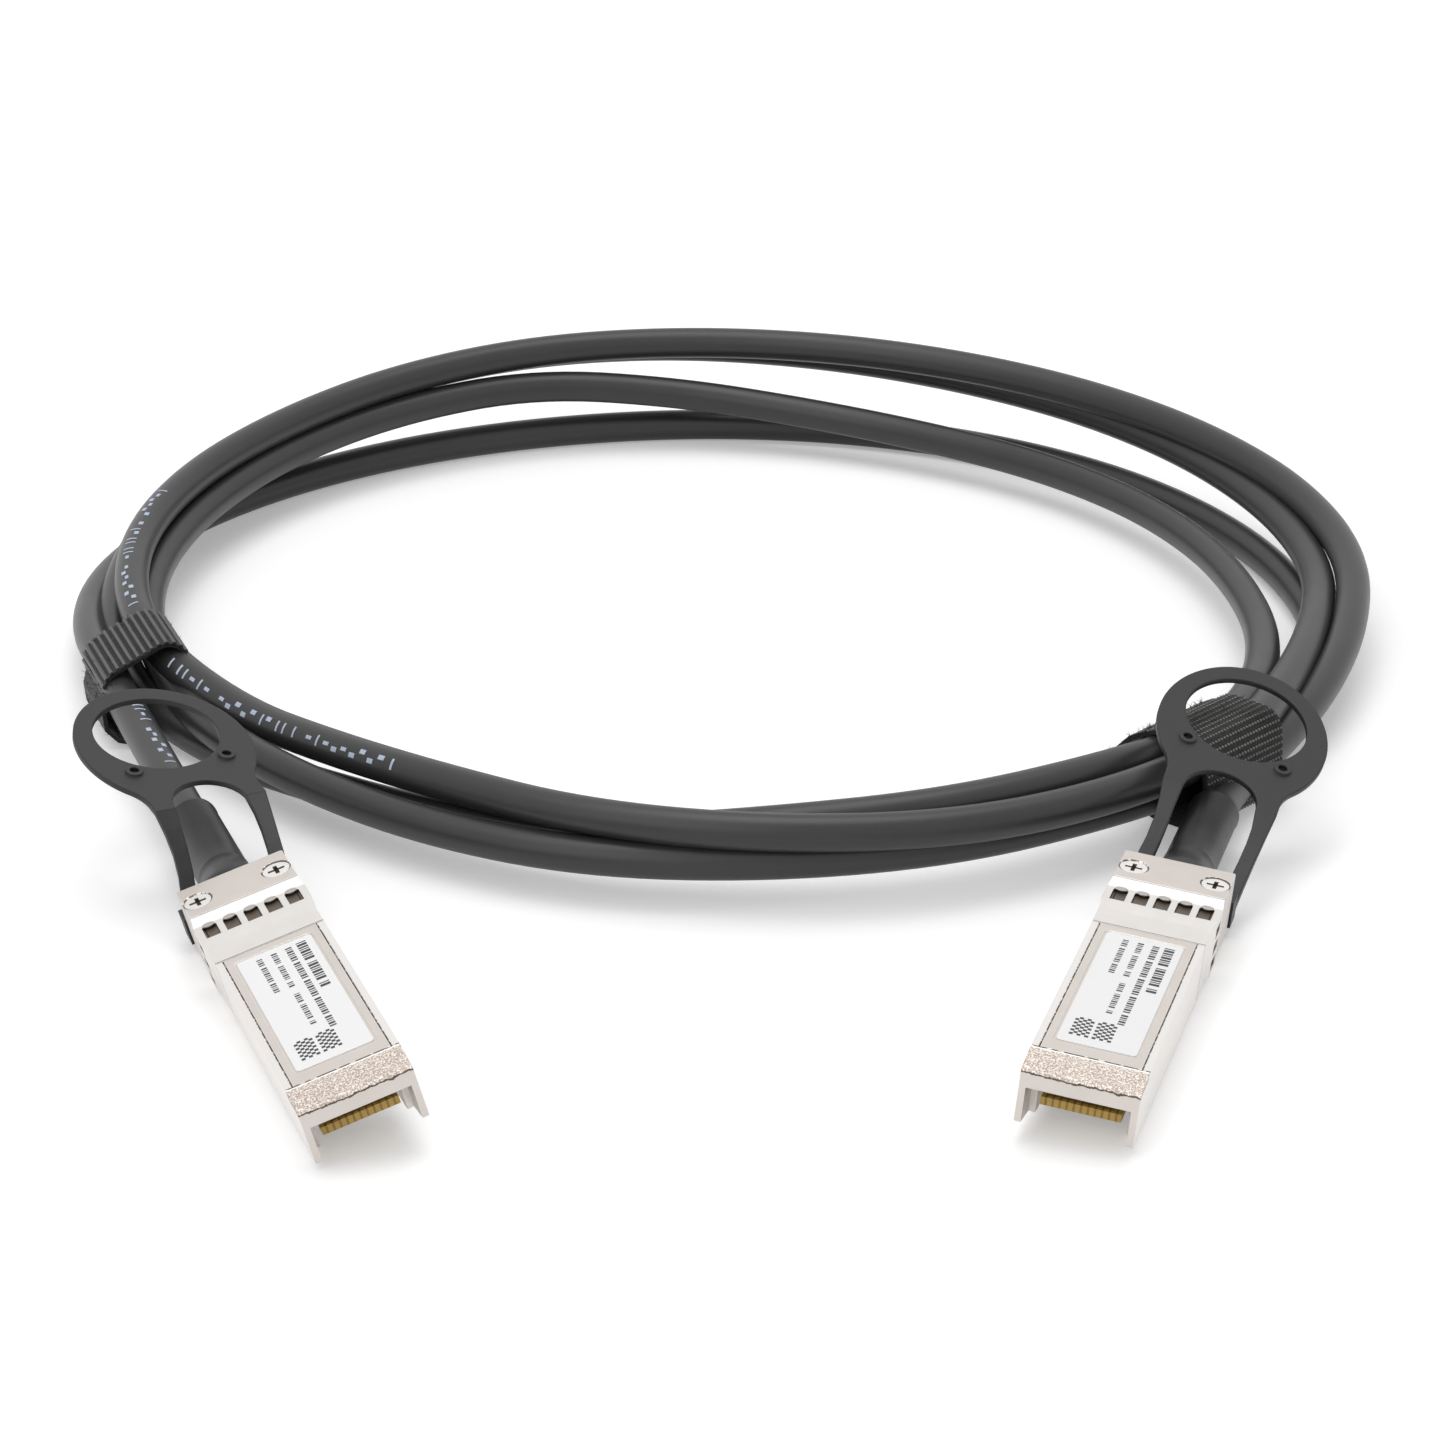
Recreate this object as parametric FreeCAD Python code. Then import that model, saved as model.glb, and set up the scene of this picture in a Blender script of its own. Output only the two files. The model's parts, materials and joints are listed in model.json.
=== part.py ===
import FreeCAD, Part
import math
import os

# Direct attach copper cable: two small pluggable modules joined by one twinaxial cable.
# The cable lies in a ring of three and a half turns, held by two hook-and-loop ties.
# Each module is a die-cast housing in two halves with a spring-fingered shielding collar,
# a circuit board with edge contacts, a moulded boot and a pull tab that draws a latch slider.
#
# Row frame: X to the right, Y away, Z up, millimetres, standing surface at Z = 0.
# Module frame: X to the right, Y from the nose towards the cable, Z up from the underside,
# with Y = 0 on the rear face.

V = FreeCAD.Vector
X_AXIS = V(1, 0, 0)
Y_AXIS = V(0, 1, 0)
Z_AXIS = V(0, 0, 1)

# ---- Housing ----------------------------------------------------------------------------
body_length = 57.0
body_width = 13.5
body_height = 8.5
body_chamfer = 1.1            # lower long edges
rear_block_length = 7.5
rear_block_width = 13.66
rear_block_height = 9.07
rear_block_corner = 0.35
rear_split_height = 4.7       # the halves meet here in the rear block
wall_rim = 0.9                # side wall beside the cover
cover_thickness = 1.2
cover_gap = 0.08
cavity_width = 10.4
floor_height = 1.95
nose_depth = 4.6              # length of the nose bar, front to back
nose_drop = 0.63              # fall of the nose bar's sloped top
mouth_width = 11.9
mouth_height = 5.65
underside_opening = 10.4      # open length of the underside behind the nose
leg_rise = 1.28               # height of the leg tips above the underside
leg_taper_length = 6.0
nose_edge = 0.3               # small bevel on the nose bar's front edge

# ---- Cover: label recess and label -------------------------------------------------------
label_width = 9.2
label_thickness = 0.1
label_corner = 0.5
label_rear_gap = 1.7          # from the shielding collar
label_front_gap = 2.8         # from the nose bar
recess_margin = 0.3
recess_depth = 0.14

# ---- Cover screws ------------------------------------------------------------------------
screw_offset_x = 5.02
screw_offset_y = 3.98
screw_head_radius = 1.7
screw_head_depth = 0.95
screw_shank_radius = 0.75
screw_length = 6.2
screw_clearance = 0.07
screw_sunk = 0.12
cross_width = 0.5
cross_span = 2.1
cross_depth = 0.6

# ---- Shielding collar --------------------------------------------------------------------
collar_front = 19.5           # distances from the rear face
collar_sheet = 0.2
collar_groove = 0.25
collar_play = 0.06
collar_rear_rise = 0.5        # height of the rear edge over the housing, near the rear block's top
collar_rise = 0.15            # height of the windows' band over the housing
collar_bulge = 0.3            # reach of the side fingers past the housing
collar_crown = 9.6            # station where the sloped rear band ends
collar_foot = 15.4            # station where the bulge ends
window_width = 1.8
window_pitch = 2.62
window_count = 5
window_rear = 9.9
window_front = 13.0
window_corner = 0.3           # bevel at the rear corners of a window
side_window_height = 1.5
side_window_pitch = 2.2
side_window_count = 3
side_window_centre = 4.7

# ---- Circuit board -----------------------------------------------------------------------
board_width = 9.2
board_thickness = 1.0
board_underside = 2.25
board_setback = 3.2           # from the nose
board_rear = 12.2             # from the rear face
board_ledge = 0.6
pad_count = 10
pad_pitch = 0.8
pad_width = 0.52
pad_length = 3.6
pad_thickness = 0.06
pad_setback = 0.3
chip_width = 3.0
chip_length = 4.4
chip_height = 1.1
chip_station = 34.0
capacitor_size = (0.8, 1.6, 0.7)
capacitor_station = 26.0
capacitor_pitch = 2.0
capacitor_count = 4

# ---- Cable, ferrule, boot ----------------------------------------------------------------
cable_diameter = 4.8
cable_axis_height = 4.25
pair_diameter = 1.6
pair_spacing = 1.7
pair_spread = 4.6
pair_straight = 8.0
pair_end = 15.0
pair_sides = 8
conductor_width = 0.4
conductor_spacing = 0.9
conductor_length = 1.6
conductor_root = 0.6          # length inside the pair's sheath
ferrule_outer_diameter = 4.5
ferrule_wall = 0.5
ferrule_length = 6.5
ferrule_clearance = 0.05
boot_diameter = 6.5
boot_length = 26.0
boot_flange_diameter = 9.4
boot_flange_length = 0.9
boot_flange_crown = 0.8       # bevel that rounds the flange over
boot_flare_length = 3.2
boot_flat_height = 1.55       # the flange is flat below, above the slider
boot_lip_length = 0.8
boot_lip_step = 0.45
boot_bore_clearance = 0.03
seat_gap = 0.05

# ---- Latch -------------------------------------------------------------------------------
latch_shoulder = 12.0         # boss shoulder from the rear face
boss_width = 2.6
boss_length = 2.6
boss_height = 0.45
slide_travel = 2.5
slide_clearance = 0.3
slot_width = 10.2
slot_lip_width = 0.8
slot_lip_thickness = 0.4
slot_ceiling = 1.45
slider_thickness = 0.55
slider_underside = 0.65
slider_front = 19.2
slot_length = 19.8
tine_width = 1.0
tine_gap = 0.4
tine_drop = 0.7
fork_inner_width = 4.4
fork_rear = 3.0
ear_front = 1.0
ear_thickness = 0.8
ear_height = 4.0
ear_outer_width = 12.8
spring_axis_x = 3.25
spring_axis_z = 1.55
spring_reach = 1.25           # width of the serpentine
spring_width = 1.2            # width of its strip
spring_strip = 0.2
spring_bends = 8
spring_front = 7.2
spring_rear = 1.6
spring_clearance = 0.15

# ---- Pull tab ----------------------------------------------------------------------------
tab_thickness = 0.7
ring_half_width = 11.0
ring_half_length = 13.1
ring_centre = 10.9            # along the plate, from the neck
hole_half_width = 7.9
hole_half_length = 8.0
hole_centre = 13.5
neck_half_width = 7.4
shoulder_length = 2.6
waist_radius = 6.0            # concave sweep from the ring into the arms
shoulder_reach = 3.2
arch_half_width = 4.7
arch_height = 4.6
tab_boss_offset_x = 6.25
tab_boss_offset_y = 6.26
tab_boss_radius = 1.15
tab_boss_bore = 0.6
tab_boss_height = 0.3
arm_stations = [(0.0, 2.7), (0.2, 2.15), (0.4, 1.9), (0.6, 1.85), (0.8, 1.95), (1.0, 2.3)]
arm_crown = 0.4               # bow of an arm out of its chord
arm_swell = 0.5               # added thickness at the foot
arm_bows = {-1: 0.9, 1: 0.0}  # sideways bow of each arm, as the tab leans to one side
root_inner_width = 10.6
root_outer_width = 14.2
root_front = 0.4
root_rear = 3.6
root_underside = 1.5
root_top = 4.9

# ---- Cable ring --------------------------------------------------------------------------
ring_x = 1.2
ring_y = 105.6
coil_step = 15                # degrees between envelope sections
envelope_sides = 12
tie_angle_left = 200.0
tie_angle_right = -41.5
tie_width = 13.0
tie_thickness = 0.95

# Stations of each pass round the ring, as (angle in degrees, radius, height) of the cable's axis.
slot_left_lead = (87.9, 5.8)
slot_left_low = (83.5, 3.4)
slot_left_inner = (79.7, 6.9)
slot_left_top = (83.2, 10.5)
slot_right_low = (84.6, 3.4)
slot_right_lead = (89.4, 3.6)
slot_right_inner = (84.6, 8.1)
slot_right_top = (89.4, 8.2)
back_passes = [
    [(200, *slot_left_lead), (165, 92.3, 2.9), (110, 87.3, 2.4), (60, 86.5, 2.4), (10, 85.0, 2.4),
     (-20, 86.0, 2.4), (-41.5, *slot_right_low)],
    [(200, *slot_left_inner), (165, 82.0, 7.5), (110, 86.5, 11.0), (60, 77.5, 5.5), (10, 74.6, 5.5),
     (-20, 78.8, 6.5), (-41.5, *slot_right_inner)],
    [(200, *slot_left_low), (165, 86.8, 7.4), (110, 91.5, 14.0), (60, 89.5, 10.3), (10, 86.5, 7.2),
     (-20, 83.3, 8.0), (-41.5, *slot_right_top)],
    [(200, *slot_left_top), (165, 85.4, 12.0), (110, 87.5, 16.6), (60, 87.6, 14.8), (10, 91.0, 10.5),
     (-20, 87.9, 6.8), (-41.5, *slot_right_lead)],
]
front_passes = [
    [(-41.5, *slot_right_low), (-57, 88.6, 4.2), (-67, 90.9, 5.0), (-90, 89.4, 5.9), (-108, 87.8, 6.0),
     (-120, 83.5, 5.6), (-136, 81.8, 5.9), (-150, 81.0, 5.9), (-160, *slot_left_inner)],
    [(-41.5, *slot_right_inner), (-56, 86.2, 11.6), (-67, 88.0, 12.6), (-90, 84.2, 9.0),
     (-108, 82.4, 5.2), (-121, 78.6, 4.4), (-136, 78.4, 2.8), (-150, 81.6, 2.5), (-160, *slot_left_low)],
    [(-41.5, *slot_right_top), (-58, 90.8, 8.8), (-68, 92.0, 9.8), (-90, 88.8, 10.6), (-109, 83.4, 10.2),
     (-121, 77.8, 10.0), (-135, 76.3, 9.2), (-145, 77.1, 9.4), (-160, *slot_left_top)],
]

# ---- Poses of the two ends ---------------------------------------------------------------
# Module: rear face centre on the ground plan, turn about Z, roll about its own length.
# Pull tab: place of its neck in the module frame, then turn, rise and roll of its ring plate.
ends = {
    "a": {"x": -54.9, "y": 5.9, "turn": 19.5, "roll": 15.6, "lead_end": 70.0,
          "neck": (1.6, 15.1, 13.1), "tab_turn": 12.4, "tab_rise": 11.2, "tab_roll": 18.3},
    "b": {"x": 56.5, "y": 9.5, "turn": -16.5, "roll": -6.0, "lead_end": 38.0,
          "neck": (1.4, 19.9, 11.4), "tab_turn": 2.2, "tab_rise": 13.8, "tab_roll": 8.6},
}


# ---- Helpers -----------------------------------------------------------------------------
def box(x0, x1, y0, y1, z0, z1):
    """Box between two corners."""
    return Part.makeBox(x1 - x0, y1 - y0, z1 - z0, V(x0, y0, z0))


def closed_face(points):
    """Flat face inside a closed polygon."""
    return Part.Face(Part.makePolygon(list(points) + [points[0]]))


def prism_y(outline, y0, y1):
    """Extrudes an (x, z) outline from y0 to y1."""
    return closed_face([V(x, y0, z) for x, z in outline]).extrude(V(0, y1 - y0, 0))


def prism_x(outline, x0, x1):
    """Extrudes a (y, z) outline from x0 to x1."""
    return closed_face([V(x0, y, z) for y, z in outline]).extrude(V(x1 - x0, 0, 0))


def rounded_slab(x0, x1, y0, y1, z0, z1, corner):
    """Slab whose four upright edges are rounded."""
    arcs = [(x1 - corner, y1 - corner, 0), (x0 + corner, y1 - corner, 90),
            (x0 + corner, y0 + corner, 180), (x1 - corner, y0 + corner, 270)]
    edges = []
    ends_before = None
    first = None
    for cx, cy, start in arcs:
        arc = Part.makeCircle(corner, V(cx, cy, z0), Z_AXIS, start, start + 90)
        begin, end = arc.Vertexes[0].Point, arc.Vertexes[-1].Point
        if ends_before is not None:
            edges.append(Part.makeLine(ends_before, begin))
        else:
            first = begin
        edges.append(arc)
        ends_before = end
    edges.append(Part.makeLine(ends_before, first))
    return Part.Face(Part.Wire(edges)).extrude(V(0, 0, z1 - z0))


def rod(start, end, radius):
    """Round bar between two points."""
    along = end - start
    return Part.makeCylinder(radius, along.Length, start, along)


def upright(x, y, z0, z1, radius):
    """Upright cylinder."""
    return Part.makeCylinder(radius, z1 - z0, V(x, y, z0))


def fuse_all(shapes):
    """Joins shapes into one solid."""
    return shapes[0].multiFuse(shapes[1:]).removeSplitter()


# ---- Housing -----------------------------------------------------------------------------
def body_outline(half_width, bottom, top, chamfer):
    """Module section: square above, chamfered along the lower edges."""
    return [(-half_width + chamfer, bottom), (half_width - chamfer, bottom),
            (half_width, bottom + chamfer), (half_width, top),
            (-half_width, top), (-half_width, bottom + chamfer)]


def rear_block(z0, z1):
    """Rear block between two heights, with rounded upright edges."""
    half = rear_block_width / 2
    slab = rounded_slab(-half, half, -rear_block_length, 0, z0, z1, rear_block_corner)
    return slab.common(prism_y(body_outline(half, 0, rear_block_height, body_chamfer),
                               -rear_block_length, 0))


def cable_bore():
    """Bore of the rear wall, a running fit on the crimp ferrule."""
    radius = ferrule_outer_diameter / 2 + ferrule_clearance
    return rod(V(0, -rear_block_length - 1, cable_axis_height), V(0, 1, cable_axis_height), radius)


def collar_recess():
    """Groove round the housing in which the shielding collar sits."""
    half = body_width / 2
    inner = body_outline(half - collar_groove, collar_groove, body_height - collar_groove, body_chamfer)
    y0, y1 = -collar_front, -rear_block_length
    outer = box(-half - 1, half + 1, y0, y1, -1, body_height + 1)
    return outer.cut(prism_y(inner, y0, y1))


def latch_slot():
    """T-slot in the underside that carries the latch slider."""
    half = slot_width / 2
    upper = box(-half, half, -slot_length, 1, slot_lip_thickness, slot_ceiling)
    mouth = box(-half + slot_lip_width, half - slot_lip_width, -slot_length, 1, -1, slot_ceiling)
    return upper.fuse(mouth)


def latch_boss():
    """Wedge on the underside that the cage's latch tab catches."""
    outline = [(-latch_shoulder, slot_ceiling + 0.1), (-latch_shoulder, -boss_height),
               (-latch_shoulder - boss_length, slot_lip_thickness),
               (-latch_shoulder - boss_length, slot_ceiling + 0.1)]
    return prism_x(outline, -boss_width / 2, boss_width / 2)


def spring_pocket(side):
    """Pocket above the slider for one return spring."""
    half = spring_reach / 2 + spring_clearance
    return box(side * spring_axis_x - half, side * spring_axis_x + half, -spring_front, -spring_rear,
               slot_ceiling - 0.1, spring_axis_z + spring_width / 2 + spring_clearance)


def housing_base():
    """Lower housing half: floor, side walls, nose frame and latch boss, in one casting."""
    half = body_width / 2
    nose = -body_length
    bar_rear = nose + nose_depth
    seat_half = half - wall_rim
    seat_height = body_height - cover_thickness
    shell = prism_y(body_outline(half, 0, body_height, body_chamfer), nose, -rear_block_length)
    shell = shell.fuse(rear_block(0, rear_split_height))
    cavity = box(-cavity_width / 2, cavity_width / 2, bar_rear, -rear_block_length,
                 board_underside, body_height + 1)
    trough_half = board_width / 2 - board_ledge
    trough = box(-trough_half, trough_half, bar_rear, -rear_block_length, floor_height, board_underside + 1)
    cover_seat = box(-seat_half, seat_half, bar_rear, -rear_block_length, seat_height, body_height + 1)
    mouth = box(-mouth_width / 2, mouth_width / 2, nose - 1, bar_rear, -1, mouth_height)
    underside = box(-cavity_width / 2, cavity_width / 2, bar_rear - seat_gap, nose + underside_opening,
                    -1, board_underside)
    nose_top = prism_x([(bar_rear, body_height), (nose + nose_edge, body_height - nose_drop),
                        (nose - 1, body_height - nose_drop - nose_edge - 1), (nose - 1, body_height + 1),
                        (bar_rear, body_height + 1)], -half - 1, half + 1)
    leg_taper = prism_x([(nose + leg_taper_length, 0), (nose, leg_rise), (nose - 1, leg_rise + 0.3),
                         (nose - 1, -1), (nose + leg_taper_length, -1)], -half - 1, half + 1)
    cutters = [cavity, trough, cover_seat, mouth, underside, nose_top, leg_taper,
               collar_recess(), latch_slot(), cable_bore()]
    for side in (-1, 1):
        cutters.append(spring_pocket(side))
        cutters.append(upright(side * screw_offset_x, -screw_offset_y,
                               rear_block_height - screw_sunk - screw_length - 0.1,
                               rear_split_height + 1, screw_shank_radius + screw_clearance))
    return shell.cut(cutters).fuse(latch_boss()).removeSplitter()


def housing_cover():
    """Upper housing half: the plate with the label recess, and the top of the rear block."""
    seat_half = body_width / 2 - wall_rim - cover_gap
    front = -body_length + nose_depth + cover_gap
    plate = box(-seat_half, seat_half, front, -rear_block_length + 0.5,
                body_height - cover_thickness, body_height)
    band = box(-body_width, body_width, -collar_front, -rear_block_length, body_height - collar_groove,
               body_height + 1)
    plate = plate.cut(band)
    label_front, label_rear = label_stations()
    recess = rounded_slab(-label_width / 2 - recess_margin, label_width / 2 + recess_margin,
                          label_front - recess_margin, label_rear + recess_margin,
                          body_height - recess_depth, body_height + 1, label_corner + recess_margin)
    block = rear_block(rear_split_height, rear_block_height)
    cover = plate.cut(recess).fuse(block).cut(cable_bore())
    for side in (-1, 1):
        x = side * screw_offset_x
        hole = upright(x, -screw_offset_y, rear_split_height - 1, rear_block_height + 1,
                       screw_shank_radius + 2 * screw_clearance)
        taper = (screw_head_radius - screw_shank_radius) / screw_head_depth
        sink_depth = screw_head_depth + screw_sunk
        sink = Part.makeCone(screw_shank_radius + screw_clearance,
                             screw_shank_radius + screw_clearance + taper * sink_depth,
                             sink_depth, V(x, -screw_offset_y, rear_block_height - sink_depth))
        cover = cover.cut([hole, sink])
    return cover.removeSplitter()


def cover_screw(side):
    """Countersunk screw with a cross recess."""
    x, y = side * screw_offset_x, -screw_offset_y
    top = rear_block_height - screw_sunk
    head = Part.makeCone(screw_shank_radius, screw_head_radius, screw_head_depth,
                         V(x, y, top - screw_head_depth))
    shank = upright(x, y, top - screw_length, top - screw_head_depth, screw_shank_radius)
    half_width, half_span = cross_width / 2, cross_span / 2
    cross = box(x - half_span, x + half_span, y - half_width, y + half_width, top - cross_depth, top + 1)
    cross = cross.fuse(box(x - half_width, x + half_width, y - half_span, y + half_span,
                           top - cross_depth, top + 1))
    return head.fuse(shank).cut(cross)


def label_stations():
    """Front and rear ends of the label along the module."""
    return -body_length + nose_depth + label_front_gap, -collar_front - label_rear_gap


def label():
    """Plain sticker in the recess of the cover."""
    front, rear = label_stations()
    return rounded_slab(-label_width / 2, label_width / 2, front, rear,
                        body_height - recess_depth, body_height - recess_depth + label_thickness,
                        label_corner)


# ---- Shielding collar --------------------------------------------------------------------
def collar_loft(inset):
    """Belt form round the housing, sloped behind, bulged at the sides and flat in front."""
    half = body_width / 2
    overrun = seat_gap if inset else 0.0
    stations = [(rear_block_length + collar_play - overrun, collar_rear_rise, collar_play),
                (collar_crown, collar_rise, collar_bulge),
                (window_front, collar_rise, collar_bulge),
                (collar_foot, 0.0, 0.0),
                (collar_front - collar_play + overrun, 0.0, 0.0)]
    wires = []
    for station, rise, bulge in stations:
        outline = body_outline(half + bulge - inset, inset, body_height + rise - inset, body_chamfer + bulge)
        points = [V(x, -station, z) for x, z in outline]
        wires.append(Part.makePolygon(points + [points[0]]))
    return Part.makeLoft(wires, True, True)


def emi_collar():
    """Spring-fingered shielding collar, folded from sheet round the housing."""
    belt = collar_loft(0.0).cut(collar_loft(collar_sheet))
    half = body_width / 2
    cutters = [box(-slot_width / 2 + slot_lip_width / 2, slot_width / 2 - slot_lip_width / 2,
                   -collar_front, 0, -1, body_chamfer / 2)]
    half_window = window_width / 2
    for index in range(window_count):
        x = (index - (window_count - 1) / 2) * window_pitch
        outline = [V(x - half_window, -window_front, body_height - 1),
                   V(x + half_window, -window_front, body_height - 1),
                   V(x + half_window, -window_rear - window_corner, body_height - 1),
                   V(x + half_window - window_corner, -window_rear, body_height - 1),
                   V(x - half_window + window_corner, -window_rear, body_height - 1),
                   V(x - half_window, -window_rear - window_corner, body_height - 1)]
        cutters.append(closed_face(outline).extrude(Z_AXIS * (body_height / 2)))
    for index in range(side_window_count):
        z = side_window_centre + (index - (side_window_count - 1) / 2) * side_window_pitch
        cutters.append(box(-half - 2, half + 2, -window_front, -window_rear,
                           z - side_window_height / 2, z + side_window_height / 2))
    return belt.cut(cutters)


# ---- Circuit board and cable end ---------------------------------------------------------
def circuit_board():
    """Board on the ledges of the base, with its edge in the mouth."""
    return box(-board_width / 2, board_width / 2, -body_length + board_setback, -board_rear,
               board_underside, board_underside + board_thickness)


def edge_contacts():
    """Rows of gold pads on both faces of the board's edge."""
    front = -body_length + board_setback + pad_setback
    pads = []
    for index in range(pad_count):
        x = (index - (pad_count - 1) / 2) * pad_pitch
        for z in (board_underside - pad_thickness, board_underside + board_thickness):
            pads.append(box(x - pad_width / 2, x + pad_width / 2, front, front + pad_length,
                            z, z + pad_thickness))
    return Part.makeCompound(pads)


def board_components():
    """Memory chip and coupling capacitors."""
    top = board_underside + board_thickness
    pieces = [box(-chip_width / 2, chip_width / 2, -chip_station - chip_length, -chip_station,
                  top, top + chip_height)]
    width, length, height = capacitor_size
    for index in range(capacitor_count):
        x = (index - (capacitor_count - 1) / 2) * capacitor_pitch
        pieces.append(box(x - width / 2, x + width / 2, -capacitor_station - length, -capacitor_station,
                          top, top + height))
    return Part.makeCompound(pieces)


def sheath_section(x, y, z):
    """Faceted section of one pair's foil wrap, square to the cable."""
    step = 2 * math.pi / pair_sides
    radius = pair_diameter / 2
    corners = [V(x + radius * math.sin((k + 0.5) * step), y, z + radius * math.cos((k + 0.5) * step))
               for k in range(pair_sides)]
    return Part.makePolygon(corners + [corners[0]])


def twinax_pair(side):
    """One foil-wrapped pair from the cable's end to the board, with its two conductors."""
    top = board_underside + board_thickness
    near = side * pair_spacing / 2
    far = side * pair_spread / 2
    sections = [sheath_section(near, 0, cable_axis_height),
                sheath_section(near, -pair_straight, cable_axis_height),
                sheath_section(far, -pair_end, top + pair_diameter / 2)]
    pieces = [Part.makeLoft(sections, True, True)]
    half = conductor_width / 2
    root = -pair_end + conductor_root
    for offset in (-conductor_spacing / 2, conductor_spacing / 2):
        pieces.append(box(far + offset - half, far + offset + half, root - conductor_root - conductor_length,
                          root, top + seat_gap, top + seat_gap + conductor_width))
    return fuse_all(pieces)


def crimp_ferrule():
    """Crimped sleeve that holds the cable's braid in the rear wall."""
    axis = cable_axis_height
    outer = rod(V(0, -ferrule_length, axis), V(0, 0, axis), ferrule_outer_diameter / 2)
    inner = rod(V(0, -ferrule_length - 1, axis), V(0, 1, axis), ferrule_outer_diameter / 2 - ferrule_wall)
    return outer.cut(inner)


def cable_boot():
    """Moulded sleeve behind the rear wall, flared to a flange that is flat underneath."""
    bore = cable_diameter / 2 + boot_bore_clearance
    radius = boot_diameter / 2
    flange = boot_flange_diameter / 2
    outline = [(bore, seat_gap), (flange, seat_gap), (flange, boot_flange_length),
               (flange - boot_flange_crown, boot_flange_length + boot_flange_crown),
               (radius, boot_flare_length), (radius, boot_length - boot_lip_length),
               (radius - boot_lip_step, boot_length), (bore, boot_length)]
    face = closed_face([V(r, y, cable_axis_height) for r, y in outline])
    boot = face.revolve(V(0, 0, cable_axis_height), Y_AXIS, 360)
    flat = box(-flange - 1, flange + 1, -1, boot_flare_length + slide_travel, -flange, boot_flat_height)
    return boot.cut(flat)


# ---- Latch -------------------------------------------------------------------------------
def latch_slider():
    """Stamped slider in the T-slot, with tines beside the boss and ears for the pull tab."""
    half = slot_width / 2 - slide_clearance
    z0, z1 = slider_underside, slider_underside + slider_thickness
    plate = box(-half, half, -slider_front, -spring_rear + 1.0, z0, z1)
    boss_half = boss_width / 2 + slide_clearance
    window = box(-boss_half, boss_half, -latch_shoulder - boss_length - slide_travel - slide_clearance,
                 -latch_shoulder + slide_clearance, z0 - 1, z1 + 1)
    pieces = []
    windows = [window]
    for side in (-1, 1):
        spring_half = spring_reach / 2 + spring_clearance
        centre = side * spring_axis_x
        windows.append(box(centre - spring_half, centre + spring_half, -spring_front,
                           -spring_rear + 0.2, z0 - 1, z1 + 1))
        inner, outer = sorted((side * fork_inner_width / 2, side * half))
        pieces.append(box(inner, outer, -spring_rear, fork_rear, z0, z1))
        inner, outer = sorted((side * (half - 0.5), side * ear_outer_width / 2))
        pieces.append(box(inner, outer, ear_front, fork_rear, z0, z1))
        inner, outer = sorted((side * (ear_outer_width / 2 - ear_thickness), side * ear_outer_width / 2))
        pieces.append(box(inner, outer, ear_front, fork_rear, z0, ear_height))
        inner, outer = sorted((side * (boss_half + tine_gap), side * (boss_half + tine_gap + tine_width)))
        tine = [(-latch_shoulder - boss_length, z0 + 0.1), (-latch_shoulder - 0.6, z1 - tine_drop - 0.6),
                (-latch_shoulder, z0 + 0.1)]
        pieces.append(prism_x(tine, inner, outer))
    return fuse_all([plate.cut(windows)] + pieces)


def return_springs():
    """Pair of serpentine strip springs between the slider and the rear wall."""
    half_depth = spring_width / 2
    rear, front = -spring_rear - seat_gap, -spring_front + seat_gap
    step = (front - rear) / spring_bends
    springs = []
    for side in (-1, 1):
        crest = spring_reach / 2 - spring_strip / 2
        line = [(rear + step * k, crest if k % 2 else -crest) for k in range(spring_bends + 1)]
        lower = [(y, x - spring_strip / 2) for y, x in line]
        upper = [(y, x + spring_strip / 2) for y, x in reversed(line)]
        corners = [V(side * spring_axis_x + x, y, spring_axis_z - half_depth) for y, x in lower + upper]
        springs.append(closed_face(corners).extrude(V(0, 0, spring_width)))
    return Part.makeCompound(springs)


# ---- Pull tab ----------------------------------------------------------------------------
def ellipse_disc(half_width, half_length, centre, z0, z1):
    """Elliptic disc, its half length along Y."""
    major, minor = max(half_width, half_length), min(half_width, half_length)
    curve = Part.Ellipse(V(0, 0, z0), major, minor)
    disc = Part.Face(Part.Wire(curve.toShape())).extrude(V(0, 0, z1 - z0))
    if half_length >= half_width:
        disc.rotate(V(0, 0, 0), Z_AXIS, 90)
    disc.translate(V(0, centre, 0))
    return disc


def is_waist_corner(edge):
    """Whether an edge is the upright corner where the neck meets the ring."""
    first, last = edge.Vertexes[0].Point, edge.Vertexes[-1].Point
    upright_edge = abs(first.x - last.x) + abs(first.y - last.y) < 1e-6
    beside_neck = abs(abs(first.x) - neck_half_width) < 1e-3
    return upright_edge and beside_neck and -shoulder_length < first.y < shoulder_reach


def tab_plate():
    """Finger ring with its neck, shoulders and two hollow bosses, in the plate's own frame."""
    under = -tab_thickness
    ring = ellipse_disc(ring_half_width, ring_half_length, ring_centre, under, 0)
    neck = box(-neck_half_width, neck_half_width, -shoulder_length, shoulder_reach, under, 0)
    hole = ellipse_disc(hole_half_width, hole_half_length, hole_centre, under - 1, 1)
    arch = ellipse_disc(arch_half_width, arch_height, -shoulder_length, under - 1, 1)
    plate = ring.fuse(neck).removeSplitter()
    corners = [edge for edge in plate.Edges if is_waist_corner(edge)]
    plate = plate.makeFillet(waist_radius, corners).cut([hole, arch])
    bosses = []
    bores = []
    for side in (-1, 1):
        x = side * tab_boss_offset_x
        bosses.append(upright(x, tab_boss_offset_y, under, tab_boss_height, tab_boss_radius))
        bores.append(upright(x, tab_boss_offset_y, under / 2, tab_boss_height + 1, tab_boss_bore))
    return plate.multiFuse(bosses).cut(bores)


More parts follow.
